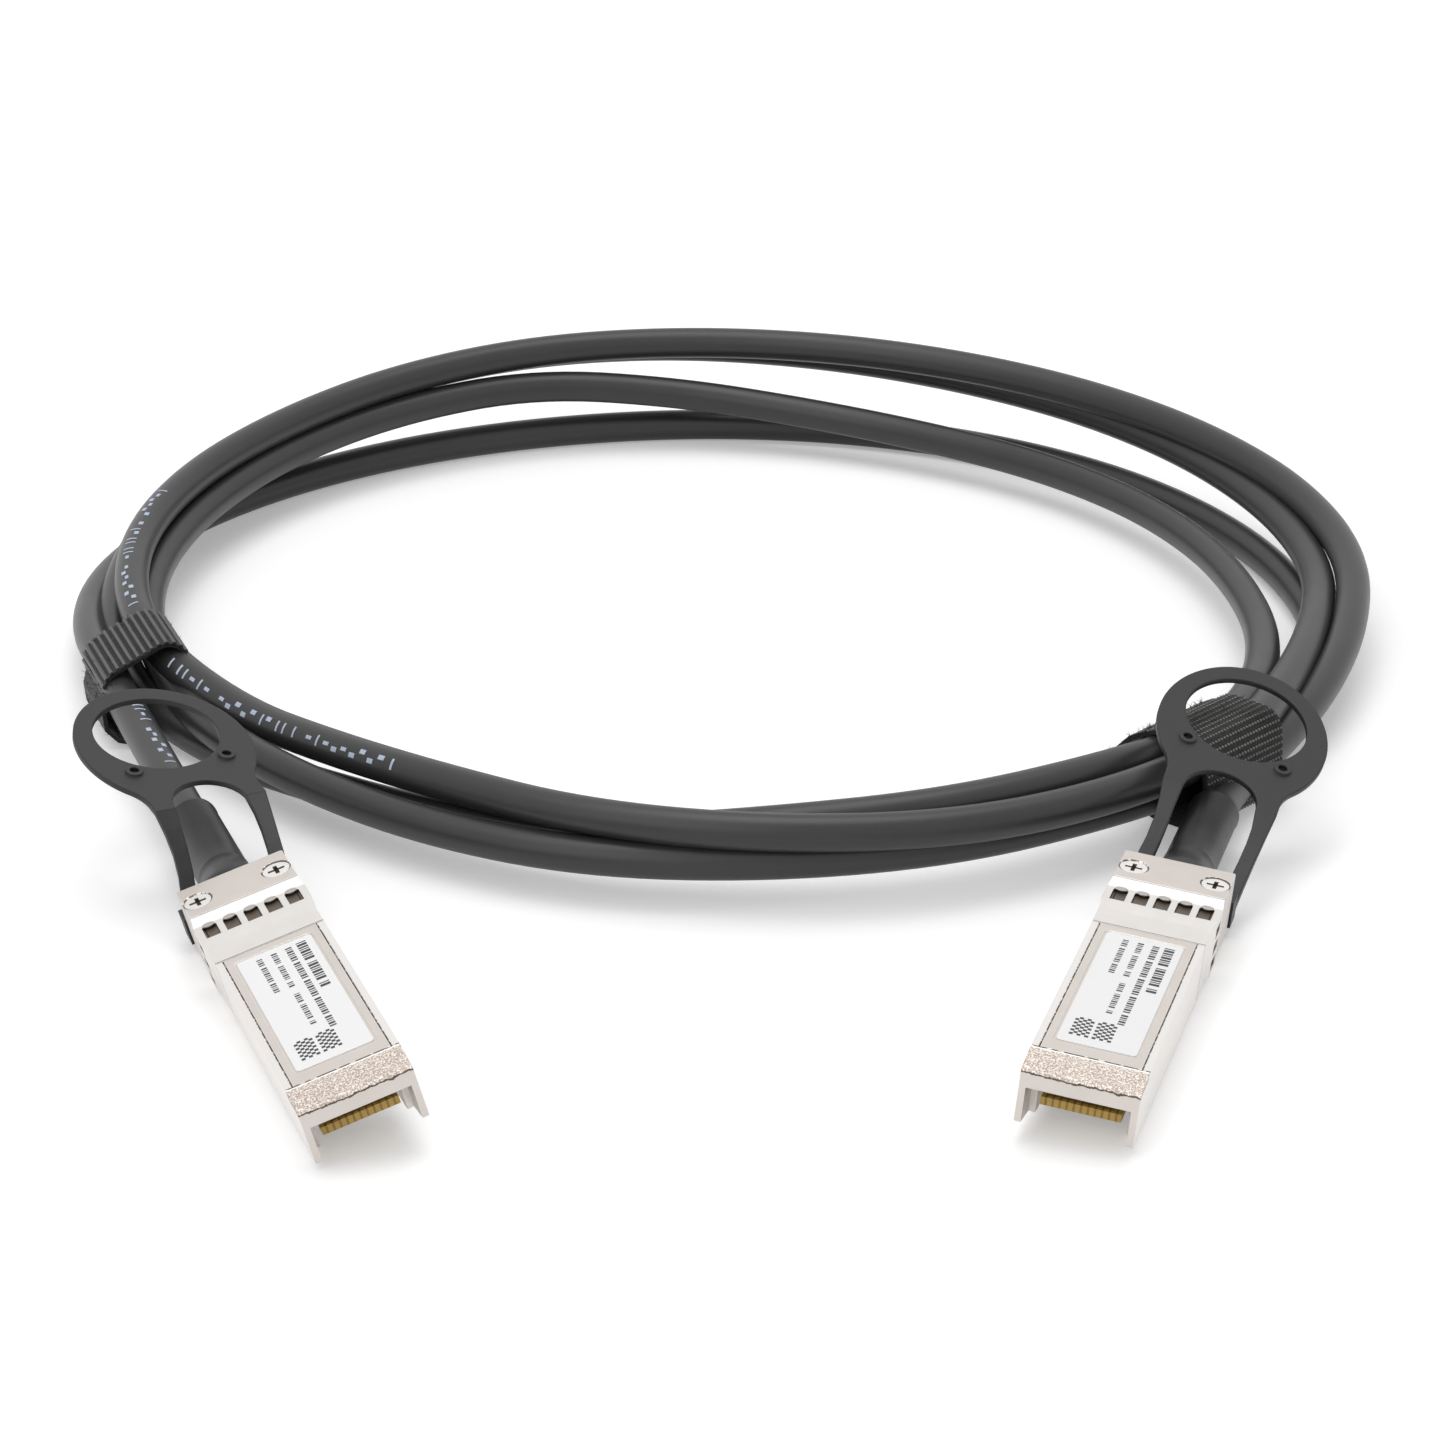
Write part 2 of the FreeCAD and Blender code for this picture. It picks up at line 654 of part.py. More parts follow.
def tab_pose(end):
    """Placement of the ring plate in the module frame."""
    turn = FreeCAD.Rotation(Z_AXIS, end["tab_turn"])
    rise = FreeCAD.Rotation(X_AXIS, end["tab_rise"])
    roll = FreeCAD.Rotation(Y_AXIS, end["tab_roll"])
    return FreeCAD.Placement(V(*end["neck"]), roll * turn * rise)


def ribbon_section(centre, across, normal, width, thickness):
    """Rectangular section of a ribbon."""
    right = across * (width / 2)
    up = normal * (thickness / 2)
    corners = [centre - right - up, centre + right - up, centre + right + up, centre - right + up]
    return Part.makePolygon(corners + [corners[0]])


def tab_arm(side, pose):
    """Arm from the shoulder of the ring plate down to its root beside the boot."""
    across = pose.Rotation.multVec(X_AXIS)
    normal = pose.Rotation.multVec(Z_AXIS)
    top = pose.multVec(V(side * neck_half_width, -shoulder_length + seat_gap, -tab_thickness / 2))
    foot = V(side * root_outer_width / 2, root_rear - tab_thickness / 2, (root_underside + root_top) / 2)
    slant = (foot - top).cross(X_AXIS).normalize()
    sections = []
    for share, width in arm_stations:
        edge = top * (1 - share) + foot * share + slant * (arm_crown * 4 * share * (1 - share))
        lateral = (across * (1 - share) + X_AXIS * share).normalize()
        facing = (normal * (1 - share) + slant * share).normalize()
        centre = edge - lateral * (side * width / 2) + X_AXIS * (arm_bows[side] * math.sin(math.pi * share))
        sections.append(ribbon_section(centre, lateral, facing, width, tab_thickness + arm_swell * share))
    inner, outer = sorted((side * root_inner_width / 2, side * root_outer_width / 2))
    root = box(inner, outer, root_front, root_rear, root_underside, root_top)
    return Part.makeLoft(sections, True, True).fuse(root)


def pull_tab(end):
    """Moulded tab: ring plate and two arms, cast over the ears of the slider."""
    pose = tab_pose(end)
    plate = tab_plate()
    plate.Placement = pose
    tab = fuse_all([plate, tab_arm(-1, pose), tab_arm(1, pose)])
    return tab.cut(latch_slider())


# ---- Cable ring --------------------------------------------------------------------------
def catmull_rom(values, stations, at):
    """Smooth value between unevenly spaced stations."""
    index = 0
    while index < len(stations) - 2 and at < stations[index + 1]:
        index += 1
    span = stations[index + 1] - stations[index]
    share = (at - stations[index]) / span

    def slope(k):
        low, high = max(k - 1, 0), min(k + 1, len(stations) - 1)
        return (values[high] - values[low]) / (stations[high] - stations[low])

    start, end = values[index], values[index + 1]
    rise, fall = slope(index) * span, slope(index + 1) * span
    square, cube = share ** 2, share ** 3
    return ((2 * cube - 3 * square + 1) * start + (cube - 2 * square + share) * rise
            + (3 * square - 2 * cube) * end + (cube - square) * fall)


def pass_at(stations, angle):
    """Radius and height of one pass at an angle, or nothing where it doesn't reach."""
    for shifted in (angle - 360, angle, angle + 360):
        if stations[-1][0] <= shifted <= stations[0][0]:
            angles = [station[0] for station in stations]
            radius = catmull_rom([station[1] for station in stations], angles, shifted)
            height = catmull_rom([station[2] for station in stations], angles, shifted)
            return radius, max(height, cable_diameter / 2)
    return None


def envelope_section(angle):
    """Polygon round every pass of the cable at one angle of the ring."""
    axes = [found for found in (pass_at(p, angle) for p in back_passes + front_passes) if found]
    step = 2 * math.pi / envelope_sides
    normals = [(math.cos(k * step), math.sin(k * step)) for k in range(envelope_sides)]
    supports = [max(r * c + z * s for r, z in axes) + cable_diameter / 2 for c, s in normals]
    heading = math.radians(angle)
    points = []
    for k in range(envelope_sides):
        (c0, s0), (c1, s1) = normals[k], normals[(k + 1) % envelope_sides]
        h0, h1 = supports[k], supports[(k + 1) % envelope_sides]
        cross = c0 * s1 - c1 * s0
        radius, height = (h0 * s1 - h1 * s0) / cross, (c0 * h1 - c1 * h0) / cross
        points.append(V(ring_x + radius * math.cos(heading), ring_y + radius * math.sin(heading), height))
    return points


def cable_coil():
    """Closed ring in the outer shape of the coiled cable."""
    sections = [envelope_section(angle) for angle in range(-160, 200, coil_step)]
    faces = []
    for section, following in zip(sections, sections[1:] + sections[:1]):
        for k in range(envelope_sides):
            after = (k + 1) % envelope_sides
            faces.append(closed_face([section[k], following[k], following[after]]))
            faces.append(closed_face([section[k], following[after], section[after]]))
    return Part.makeSolid(Part.makeShell(faces))


def tie(angle, slots):
    """Hook-and-loop strap round the bundle."""
    heading = math.radians(angle)
    radial = V(math.cos(heading), math.sin(heading), 0)
    along = V(-math.sin(heading), math.cos(heading), 0)
    hull = sorted(slots, key=lambda s: math.atan2(s[1] - sum(q[1] for q in slots) / len(slots),
                                                  s[0] - sum(q[0] for q in slots) / len(slots)))
    centre = V(ring_x, ring_y, 0)
    corners = [centre + radial * r + Z_AXIS * z for r, z in hull]
    loop = Part.makePolygon(corners + [corners[0]])
    inner = Part.Face(loop.makeOffset2D(cable_diameter / 2))
    outer = Part.Face(loop.makeOffset2D(cable_diameter / 2 + tie_thickness))
    strap = outer.cut(inner).extrude(along * tie_width)
    strap.translate(along * (-tie_width / 2))
    return strap


# ---- Placing and writing -----------------------------------------------------------------
def module_pose(end):
    """Placement of a module that lies on one lower edge."""
    lift = (rear_block_width / 2 - body_chamfer) * math.sin(math.radians(abs(end["roll"])))
    turn = FreeCAD.Rotation(Z_AXIS, end["turn"]) * FreeCAD.Rotation(Y_AXIS, -end["roll"])
    return FreeCAD.Placement(V(end["x"], end["y"], lift), turn)


def module_pieces(end):
    """Every piece of one module in the module frame, by node stem."""
    return {
        "housing_base": housing_base(),
        "housing_cover": housing_cover(),
        "cover_screw_left": cover_screw(-1),
        "cover_screw_right": cover_screw(1),
        "emi_collar": emi_collar(),
        "product_label": label(),
        "circuit_board": circuit_board(),
        "edge_contacts": edge_contacts(),
        "board_components": board_components(),
        "twinax_pair_left": twinax_pair(-1),
        "twinax_pair_right": twinax_pair(1),
        "crimp_ferrule": crimp_ferrule(),
        "cable_boot": cable_boot(),
        "latch_slider": latch_slider(),
        "return_springs": return_springs(),
        "pull_tab": pull_tab(end),
    }


def main():
    """Writes one STEP file per node."""
    os.makedirs("parts", exist_ok=True)
    nodes = {}
    for letter, end in ends.items():
        pose = module_pose(end)
        for stem, shape in module_pieces(end).items():
            shape.Placement = pose.multiply(shape.Placement)
            nodes[f"{stem}_{letter}"] = shape
        axis = cable_axis_height
        lead = rod(V(0, seat_gap, axis), V(0, end["lead_end"], axis), cable_diameter / 2)
        lead.Placement = pose.multiply(lead.Placement)
        nodes[f"cable_lead_{letter}"] = lead
    nodes["cable_coil"] = cable_coil()
    nodes["tie_left"] = tie(tie_angle_left, [slot_left_lead, slot_left_low, slot_left_inner, slot_left_top])
    nodes["tie_right"] = tie(tie_angle_right,
                             [slot_right_low, slot_right_lead, slot_right_top, slot_right_inner])
    for name, shape in nodes.items():
        shape.exportStep(f"parts/{name}.step")
        print(f"{name}: valid {shape.isValid()}, solids {len(shape.Solids)}, volume {shape.Volume:.1f}")


main()
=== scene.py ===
import json
import logging
import math
from dataclasses import dataclass, field
from enum import Enum

import bpy
from mathutils import Matrix, Vector


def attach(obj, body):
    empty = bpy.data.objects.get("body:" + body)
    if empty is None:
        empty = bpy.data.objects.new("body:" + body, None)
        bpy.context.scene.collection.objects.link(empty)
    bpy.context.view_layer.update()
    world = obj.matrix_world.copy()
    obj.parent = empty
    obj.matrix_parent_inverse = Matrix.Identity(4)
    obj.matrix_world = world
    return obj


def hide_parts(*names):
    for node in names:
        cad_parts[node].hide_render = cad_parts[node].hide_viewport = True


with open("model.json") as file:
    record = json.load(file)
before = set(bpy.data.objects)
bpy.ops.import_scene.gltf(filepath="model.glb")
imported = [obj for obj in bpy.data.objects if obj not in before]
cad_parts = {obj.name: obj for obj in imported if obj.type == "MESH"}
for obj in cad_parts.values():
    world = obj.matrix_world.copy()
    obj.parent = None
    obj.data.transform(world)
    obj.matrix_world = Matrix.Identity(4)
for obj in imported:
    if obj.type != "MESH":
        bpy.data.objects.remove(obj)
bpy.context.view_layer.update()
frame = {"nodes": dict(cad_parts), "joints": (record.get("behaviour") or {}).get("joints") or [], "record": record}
MM = 0.001
LOG = logging.getLogger("dressing")

Point = tuple[float, float, float]
Colour = tuple[float, float, float]
Slot = tuple[float, float]
Span = tuple[float, float]

BODY_LENGTH = 57.0
SHOULDER_DEPTH = 45.0
CABLE_AXIS = 4.25


class End(Enum):
    """The two ends of the cable, as the model's node names give them."""

    LEFT = "a"
    RIGHT = "b"


class Body(Enum):
    """Bodies of the model that pieces ride on."""

    CABLE = "cable_assembly"


class Weave(Enum):
    """Surface of a tie's outer face."""

    RIBS = "ribs"
    LOOPS = "loops"


# ---- Meshes and node trees ---------------------------------------------------------------
def mesh_object(name: str, points: list[Vector], faces: list[tuple[int, ...]],
                material: bpy.types.Material, smooth: bool = False) -> bpy.types.Object:
    """Makes an object whose mesh lies in the row frame.

    Args:
        name: Name of the piece.
        points: Vertices in metres.
        faces: Vertex indices of each face, seen anticlockwise from outside.
        material: Finish of the whole piece.
        smooth: Whether the faces are shaded smooth.

    Returns:
        The new object, linked to the scene.
    """
    mesh = bpy.data.meshes.new(name)
    mesh.from_pydata([tuple(p) for p in points], [], faces)
    mesh.materials.append(material)
    for polygon in mesh.polygons:
        polygon.use_smooth = smooth
    mesh.update()
    piece = bpy.data.objects.new(name, mesh)
    bpy.context.scene.collection.objects.link(piece)
    return piece


def join(name: str, parts: list[bpy.types.Object]) -> bpy.types.Object:
    """Joins objects that all lie at the origin into the first of them.

    Args:
        name: Name of the joined piece.
        parts: Objects to join; only the first is kept.

    Returns:
        The joined object.
    """
    bpy.ops.object.select_all(action="DESELECT")
    for part in parts:
        part.select_set(True)
    bpy.context.view_layer.objects.active = parts[0]
    bpy.ops.object.join()
    parts[0].name = name
    parts[0].data.name = name
    return parts[0]


def report(piece: bpy.types.Object) -> None:
    """Logs the name, finishes and face count of a finished piece."""
    finishes = ", ".join(material.name for material in piece.data.materials if material)
    LOG.info("%s: %s, %d faces", piece.name, finishes, len(piece.data.polygons))


def applied(holder: bpy.types.Object, name: str) -> bpy.types.Object:
    """Turns the result of an object's modifiers into a plain mesh object.

    Args:
        holder: Object that carries the modifiers; it is deleted.
        name: Name of the plain object.

    Returns:
        The plain object.
    """
    bpy.context.view_layer.update()
    graph = bpy.context.evaluated_depsgraph_get()
    mesh = bpy.data.meshes.new_from_object(holder.evaluated_get(graph))
    mesh.name = name
    piece = bpy.data.objects.new(name, mesh)
    bpy.context.scene.collection.objects.link(piece)
    bpy.data.objects.remove(holder)
    return piece


class Graph:
    """Short way to write a node tree."""

    def __init__(self, tree: bpy.types.NodeTree) -> None:
        """Keeps the tree that nodes are added to."""
        self.tree = tree

    def node(self, kind: str, inputs: dict[str | int, object] | None = None,
             **settings: object) -> bpy.types.Node:
        """Adds a node.

        Args:
            kind: Blender's identifier of the node type.
            inputs: Values, or sockets of other nodes, by the name or index of the input.
            settings: Properties of the node.

        Returns:
            The new node.
        """
        node = self.tree.nodes.new(kind)
        for key, value in settings.items():
            setattr(node, key, value)
        for key, value in (inputs or {}).items():
            if isinstance(value, bpy.types.NodeSocket):
                self.tree.links.new(value, node.inputs[key])
            else:
                node.inputs[key].default_value = value
        return node

    def math(self, operation: str, first: object, second: object = 0.0) -> bpy.types.NodeSocket:
        """Adds a Math node and returns its result."""
        return self.node("ShaderNodeMath", {0: first, 1: second}, operation=operation).outputs[0]

    def band(self, value: object, span: Span, soft: float = 0.06) -> bpy.types.NodeSocket:
        """Adds a mask that is one inside a span.

        Args:
            value: Socket of the tested value, in metres.
            span: Lower and upper limit in millimetres.
            soft: Width of each soft edge in millimetres.

        Returns:
            The mask's socket.
        """
        low, high, half = span[0] * MM, span[1] * MM, soft * MM / 2
        rise = self.node("ShaderNodeMapRange", {"Value": value, "From Min": low - half,
                                                "From Max": low + half}).outputs[0]
        fall = self.node("ShaderNodeMapRange", {"Value": value, "From Min": high + half,
                                                "From Max": high - half}).outputs[0]
        return self.math("MULTIPLY", rise, fall)

    def both(self, first: object, *others: object) -> bpy.types.NodeSocket:
        """Adds the product of masks, which is one where all of them are.

        Args:
            first: The first mask.
            others: The masks that it is multiplied by.

        Returns:
            The product's socket.
        """
        for other in others:
            first = self.math("MULTIPLY", first, other)
        return first

    def either(self, first: object, *others: object) -> bpy.types.NodeSocket:
        """Adds the greatest of masks, which is one where any of them is.

        Args:
            first: The first mask.
            others: The masks that it is compared with.

        Returns:
            The socket of the greatest.
        """
        for other in others:
            first = self.math("MAXIMUM", first, other)
        return first

    def blend(self, share: object, first: object, second: object) -> bpy.types.NodeSocket:
        """Adds a colour mix.

        Args:
            share: How much of the second colour shows, as a number or a socket.
            first: The first colour, or a socket that gives it.
            second: The second colour, or a socket that gives it.

        Returns:
            The mixed colour's socket.
        """
        node = self.node("ShaderNodeMix", data_type="RGBA")
        for index, value in ((0, share), (6, first), (7, second)):
            if isinstance(value, bpy.types.NodeSocket):
                self.tree.links.new(value, node.inputs[index])
            else:
                node.inputs[index].default_value = (*value, 1.0) if index else value
        return node.outputs[2]

    def spread(self, value: object, low: float, high: float) -> bpy.types.NodeSocket:
        """Adds a remap of a 0 to 1 value onto a range and returns its result."""
        return self.node("ShaderNodeMapRange", {"Value": value, "To Min": low,
                                                "To Max": high}).outputs[0]

    def noise(self, vector: object, scale: float, detail: float = 2.0) -> bpy.types.NodeSocket:
        """Adds a noise texture and returns its factor."""
        return self.node("ShaderNodeTexNoise", {"Vector": vector, "Scale": scale,
                                                "Detail": detail}).outputs[0]


class GrownPiece:
    """Geometry node tree with named sizes that grows a piece on a holder object."""

    def __init__(self, name: str, sizes: dict[str, float]) -> None:
        """Starts the tree with one input for the holder's mesh and one for each size.

        Args:
            name: Name of the tree.
            sizes: Value of each input by its name.
        """
        self.tree = bpy.data.node_groups.new(name, "GeometryNodeTree")
        self.sizes = sizes
        face = self.tree.interface
        face.new_socket("Holder", in_out="INPUT", socket_type="NodeSocketGeometry")
        self.inputs = {key: face.new_socket(key, in_out="INPUT", socket_type="NodeSocketFloat").identifier
                       for key in sizes}
        face.new_socket("Geometry", in_out="OUTPUT", socket_type="NodeSocketGeometry")
        self.graph = Graph(self.tree)
        self.source = self.graph.node("NodeGroupInput").outputs

    def grow(self, placed: bpy.types.NodeSocket, finish: bpy.types.Material, holder: bpy.types.Object,
             name: str) -> bpy.types.Object:
        """Ends the tree, runs it on the holder and gives its result.

        Args:
            placed: Socket of the instances.
            finish: Material of the whole piece.
            holder: Object that the tree runs on; it is deleted.
            name: Name of the piece.

        Returns:
            The piece as a plain mesh.
        """
        solid = self.graph.node("GeometryNodeRealizeInstances", {0: placed}).outputs[0]
        done = self.graph.node("GeometryNodeSetMaterial", {"Geometry": solid, "Material": finish}).outputs[0]
        self.graph.node("NodeGroupOutput", {0: done})
        modifier = holder.modifiers.new("grown", "NODES")
        modifier.node_group = self.tree
        for key, value in self.sizes.items():
            modifier[self.inputs[key]] = value
        return applied(holder, name)


def new_material(name: str) -> tuple[bpy.types.Material, Graph, bpy.types.Node]:
    """Makes a node material.

    Args:
        name: Name of the finish.

    Returns:
        The material, its graph and its surface shader.
    """
    material = bpy.data.materials.new(name)
    material.use_nodes = True
    graph = Graph(material.node_tree)
    shader = material.node_tree.nodes["Principled BSDF"]
    return material, graph, shader


# ---- Places ------------------------------------------------------------------------------
@dataclass(frozen=True)
class ModulePose:
    """Place of one module: its own frame has Y towards the cable and Z up from the underside."""

    origin: Vector
    right: Vector
    rear: Vector
    up: Vector

    @classmethod
    def of(cls, end: End) -> "ModulePose":
        """Reads a module's place from the model's record.

        Args:
            end: Which end of the cable.

        Returns:
            The place of that module.
        """
        record = frame["record"]
        mounts = {mount["name"]: Vector(mount["pos_m"]) for mount in record["mounts"]}
        joints = {joint["name"]: joint for joint in frame["joints"]}
        rear = Vector(joints[f"release_slide_{end.value}"]["axis"]).normalized()
        nose = mounts[f"module_insertion_{end.value}"]
        shoulder = mounts[f"latch_shoulder_{end.value}"]
        lift = nose + rear * (SHOULDER_DEPTH * MM) - shoulder
        up = (lift - rear * lift.dot(rear)).normalized()
        origin = nose + rear * (BODY_LENGTH * MM) - up * (CABLE_AXIS * MM)
        return cls(origin, rear.cross(up), rear, up)

    def point(self, x: float, y: float, z: float) -> Vector:
        """Gives the place of a point that is stated in the module's frame in millimetres."""
        return self.origin + (self.right * x + self.rear * y + self.up * z) * MM

    def turn(self) -> Matrix:
        """Gives the module's orientation."""
        return Matrix((self.right, self.rear, self.up)).transposed()


# ---- Finishes ----------------------------------------------------------------------------
def module_axes(graph: Graph, pose: ModulePose) -> tuple[bpy.types.NodeSocket, bpy.types.NodeOutputs]:
    """Adds the coordinates of a module's own frame to a finish.

    Args:
        graph: Tree of the finish.
        pose: Place of the module.

    Returns:
        The coordinates as one vector, and as three separate outputs.
    """
    coords = graph.node("ShaderNodeTexCoord").outputs["Object"]
    local = graph.node("ShaderNodeMapping", {"Vector": coords, "Location": pose.origin,
                                             "Rotation": pose.turn().to_euler()},
                       vector_type="TEXTURE").outputs[0]
    return local, graph.node("ShaderNodeSeparateXYZ", {0: local}).outputs


@dataclass(frozen=True)
class CastNickel:
    """Nickel-plated die casting: satin, finely pitted, rough along the sloped nose; with painted highlights on its
    edges, rim line and side walls, and painted shade on the housing under the collar.
    """

    pose: ModulePose
    colour: Colour = (0.68, 0.63, 0.59)
    stain: Colour = (0.61, 0.56, 0.515)
    # Painted highlight colour on the casting's edges and on the rim line behind the nose strip.
    edge_highlight: Colour = (0.93, 0.92, 0.90)
    # Side walls painted paler, a painted highlight.
    flank_highlight: Colour = (0.80, 0.77, 0.745)
    shine: Colour = (0.80, 0.735, 0.69)
    pit: Colour = (0.38, 0.31, 0.26)
    # Colour of the dark joints, and of the painted shade on the housing under the collar.
    joint_and_shade: Colour = (0.10, 0.075, 0.055)
    roughness: float = 0.36
    edge: float = 0.16
    chip_level: float = 0.44
    ragged: float = 0.7
    top: Span = (8.3, 20.0)
    deck: Span = (-52.4, -19.5)
    seam: Span = (5.78, 5.94)
    wall: Span = (5.96, 9.0)
    wall_run: Span = (-56.9, -19.5)
    # Span under the collar whose housing is painted in shade.
    collar: Span = (-19.55, -7.6)
    screw: Slot = (5.02, -3.98)
    groove: Span = (1.56, 1.88)
    nose: Span = (-57.2, -52.5)
    nose_top: Span = (7.5, 20.0)
    step: Span = (-52.47, -52.24)
    # Line behind the nose strip that gets the painted highlight.
    rim: Span = (-52.66, -52.48)
    rim_top: Span = (7.9, 20.0)
    lip: Span = (7.72, 7.92)
    face: Span = (-58.0, -56.9)

    def joints(self, graph: Graph, axes: bpy.types.NodeOutputs, side: bpy.types.NodeSocket,
               chip: bpy.types.NodeSocket) -> bpy.types.NodeSocket:
        """Adds the mask of the dark joints, screw grooves and ragged lip, and of the painted shade under the
        collar.

        Args:
            graph: Tree of the finish.
            axes: Coordinates of the module's frame, one by one.
            side: Distance from the module's middle plane.
            chip: Noise that breaks the joints up.

        Returns:
            The mask.
        """
        broken = graph.math("GREATER_THAN", chip, self.chip_level)
        high = graph.band(axes[2], self.top, 0.1)
        seam = graph.both(graph.band(side, self.seam), high, graph.band(axes[1], self.deck, 0.1))
        step = graph.both(graph.band(axes[1], self.step), high)
        across = graph.math("SUBTRACT", side, self.screw[0] * MM)
        along = graph.math("SUBTRACT", axes[1], self.screw[1] * MM)
        reach = graph.math("SQRT", graph.math("ADD", graph.both(across, across), graph.both(along, along)))
        groove = graph.both(graph.band(reach, self.groove, 0.08), high)
        height = graph.math("ADD", axes[2], graph.math("MULTIPLY", chip, self.ragged * MM))
        lip = graph.both(graph.band(height, self.lip), graph.band(axes[1], self.face, 0.05))
        thin = graph.both(graph.either(seam, groove, step), broken)
        # The band under the collar is painted shade; the rest are dark joints.
        return graph.either(thin, lip, graph.band(axes[1], self.collar, 0.1))

    def build(self, name: str) -> bpy.types.Material:
        """Makes the material.

        Args:
            name: Name of the finish.

        Returns:
            The material.
        """
        material, graph, shader = new_material(name)
        local, axes = module_axes(graph, self.pose)
        side = graph.math("ABSOLUTE", axes[0])
        dark = self.joints(graph, axes, side, graph.noise(local, 1500.0, 3.0))
        strip = graph.both(graph.band(axes[1], self.nose, 0.1), graph.band(axes[2], self.nose_top, 0.1))
        rim = graph.both(graph.band(axes[1], self.rim), graph.band(axes[2], self.rim_top, 0.1))
        flank_highlight = graph.both(graph.band(side, self.wall), graph.band(axes[1], self.wall_run, 0.1))
        blotch = graph.noise(local, 260.0, 3.0)
        grain = graph.noise(local, 5200.0, 3.0)
        speck = graph.noise(local, 5000.0, 2.0)
        bevel = graph.node("ShaderNodeBevel", {"Radius": self.edge * MM}, samples=6).outputs[0]
        normal = graph.node("ShaderNodeNewGeometry").outputs["True Normal"]
        bent = graph.node("ShaderNodeVectorMath", {0: bevel, 1: normal},
                          operation="DOT_PRODUCT").outputs["Value"]
        # Mask of the edges, where the painted highlight goes.
        edge = graph.node("ShaderNodeMapRange", {"Value": bent, "From Min": 0.995,
                                                 "From Max": 0.9}).outputs[0]
        fleck = graph.node("ShaderNodeMapRange", {"Value": speck, "From Min": 0.42,
                                                  "From Max": 0.62}).outputs[0]
        base = graph.blend(graph.spread(blotch, -0.2, 0.9), self.colour, self.stain)
        # Side walls painted paler, a painted highlight.
        base = graph.blend(flank_highlight, base, self.flank_highlight)
        # Painted highlights: on the edges here, and on the rim line two rows on.
        base = graph.blend(graph.math("MULTIPLY", edge, 0.75), base, self.edge_highlight)
        base = graph.blend(strip, base, graph.blend(fleck, self.pit, self.shine))
        base = graph.blend(rim, base, self.edge_highlight)
        # Dark joints, and painted shade on the housing under the collar.
        base = graph.blend(dark, base, self.joint_and_shade)
        matte = graph.math("ADD", graph.spread(grain, self.roughness - 0.05, self.roughness + 0.10),
                           graph.math("MULTIPLY", strip, 0.12))
        height = graph.math("ADD", graph.math("MULTIPLY", grain, 0.12), graph.both(strip, speck))
        bump = graph.node("ShaderNodeBump", {"Strength": 0.5, "Distance": 0.05 * MM, "Height": height,
                                             "Normal": bevel}).outputs[0]
        links = graph.tree.links
        links.new(base, shader.inputs["Base Color"])
        links.new(matte, shader.inputs["Roughness"])
        links.new(bump, shader.inputs["Normal"])
        links.new(graph.spread(dark, 0.82, 0.0), shader.inputs["Metallic"])
        return material


@dataclass(frozen=True)
class CollarSheet:
    """Bright folded sheet of a shielding collar, with a painted highlight on the inclined band at its rear and a
    painted shadow line under its front edge.
    """

    pose: ModulePose
    colour: Colour = (0.72, 0.69, 0.66)
    # Paler colour: a random drift toward it, and the painted highlight on the inclined rear band.
    pale_and_highlight: Colour = (0.94, 0.93, 0.915)
    # Painted shadow along the front edge, where the sheet stands off the housing.
    line: Colour = (0.20, 0.17, 0.15)
    # Span of the inclined rear band with the painted highlight.
    highlight_run: Span = (-9.6, -7.4)
    # Span of the painted shadow line.
    shadow_line_run: Span = (-19.36, -19.2)

    def build(self, name: str) -> bpy.types.Material:
        """Makes the material.

        Args:
            name: Name of the finish.

        Returns:
            The material.
        """
        material, graph, shader = new_material(name)
        local, axes = module_axes(graph, self.pose)
        drift = graph.noise(local, 420.0, 3.0)
        # Painted highlight on the inclined rear band.
        sloped = graph.band(axes[1], self.highlight_run, 0.12)
        shadow_line_mask = graph.band(axes[1], self.shadow_line_run)
        base = graph.blend(graph.spread(drift, 0.0, 0.35), self.colour, self.pale_and_highlight)
        base = graph.blend(sloped, base, self.pale_and_highlight)
        # Painted shadow line under the front edge.
        base = graph.blend(shadow_line_mask, base, self.line)
        bevel = graph.node("ShaderNodeBevel", {"Radius": 0.1 * MM}, samples=6)
        links = graph.tree.links
        links.new(base, shader.inputs["Base Color"])
        links.new(graph.spread(drift, 0.28, 0.38), shader.inputs["Roughness"])
        links.new(bevel.outputs[0], shader.inputs["Normal"])
        shader.inputs["Metallic"].default_value = 0.85
        return material


@dataclass(frozen=True)
class ScrewPlate:
    """Bright plated screw, painted darker with depth in its cross recess as painted shade."""

    pose: ModulePose
    colour: Colour = (0.84, 0.81, 0.78)
    # Painted shade deep in the cross recess.
    recess_shade: Colour = (0.10, 0.07, 0.05)
    head: float = 8.84
    fade: float = 0.1

    def build(self, name: str) -> bpy.types.Material:
        """Makes the material.

        Args:
            name: Name of the finish.

        Returns:
            The material.
        """
        material, graph, shader = new_material(name)
        local, axes = module_axes(graph, self.pose)
        drift = graph.noise(local, 1400.0, 3.0)
        # Darker below the head's top: painted shade in the recess.
        deep = graph.node("ShaderNodeMapRange", {"Value": axes[2], "From Min": self.head * MM,
                                                 "From Max": (self.head - self.fade) * MM}).outputs[0]
        bevel = graph.node("ShaderNodeBevel", {"Radius": 0.08 * MM}, samples=6)
        links = graph.tree.links
        links.new(graph.blend(deep, self.colour, self.recess_shade), shader.inputs["Base Color"])
        links.new(graph.spread(drift, 0.22, 0.36), shader.inputs["Roughness"])
        links.new(bevel.outputs[0], shader.inputs["Normal"])
        links.new(graph.spread(deep, 0.85, 0.0), shader.inputs["Metallic"])
        return material


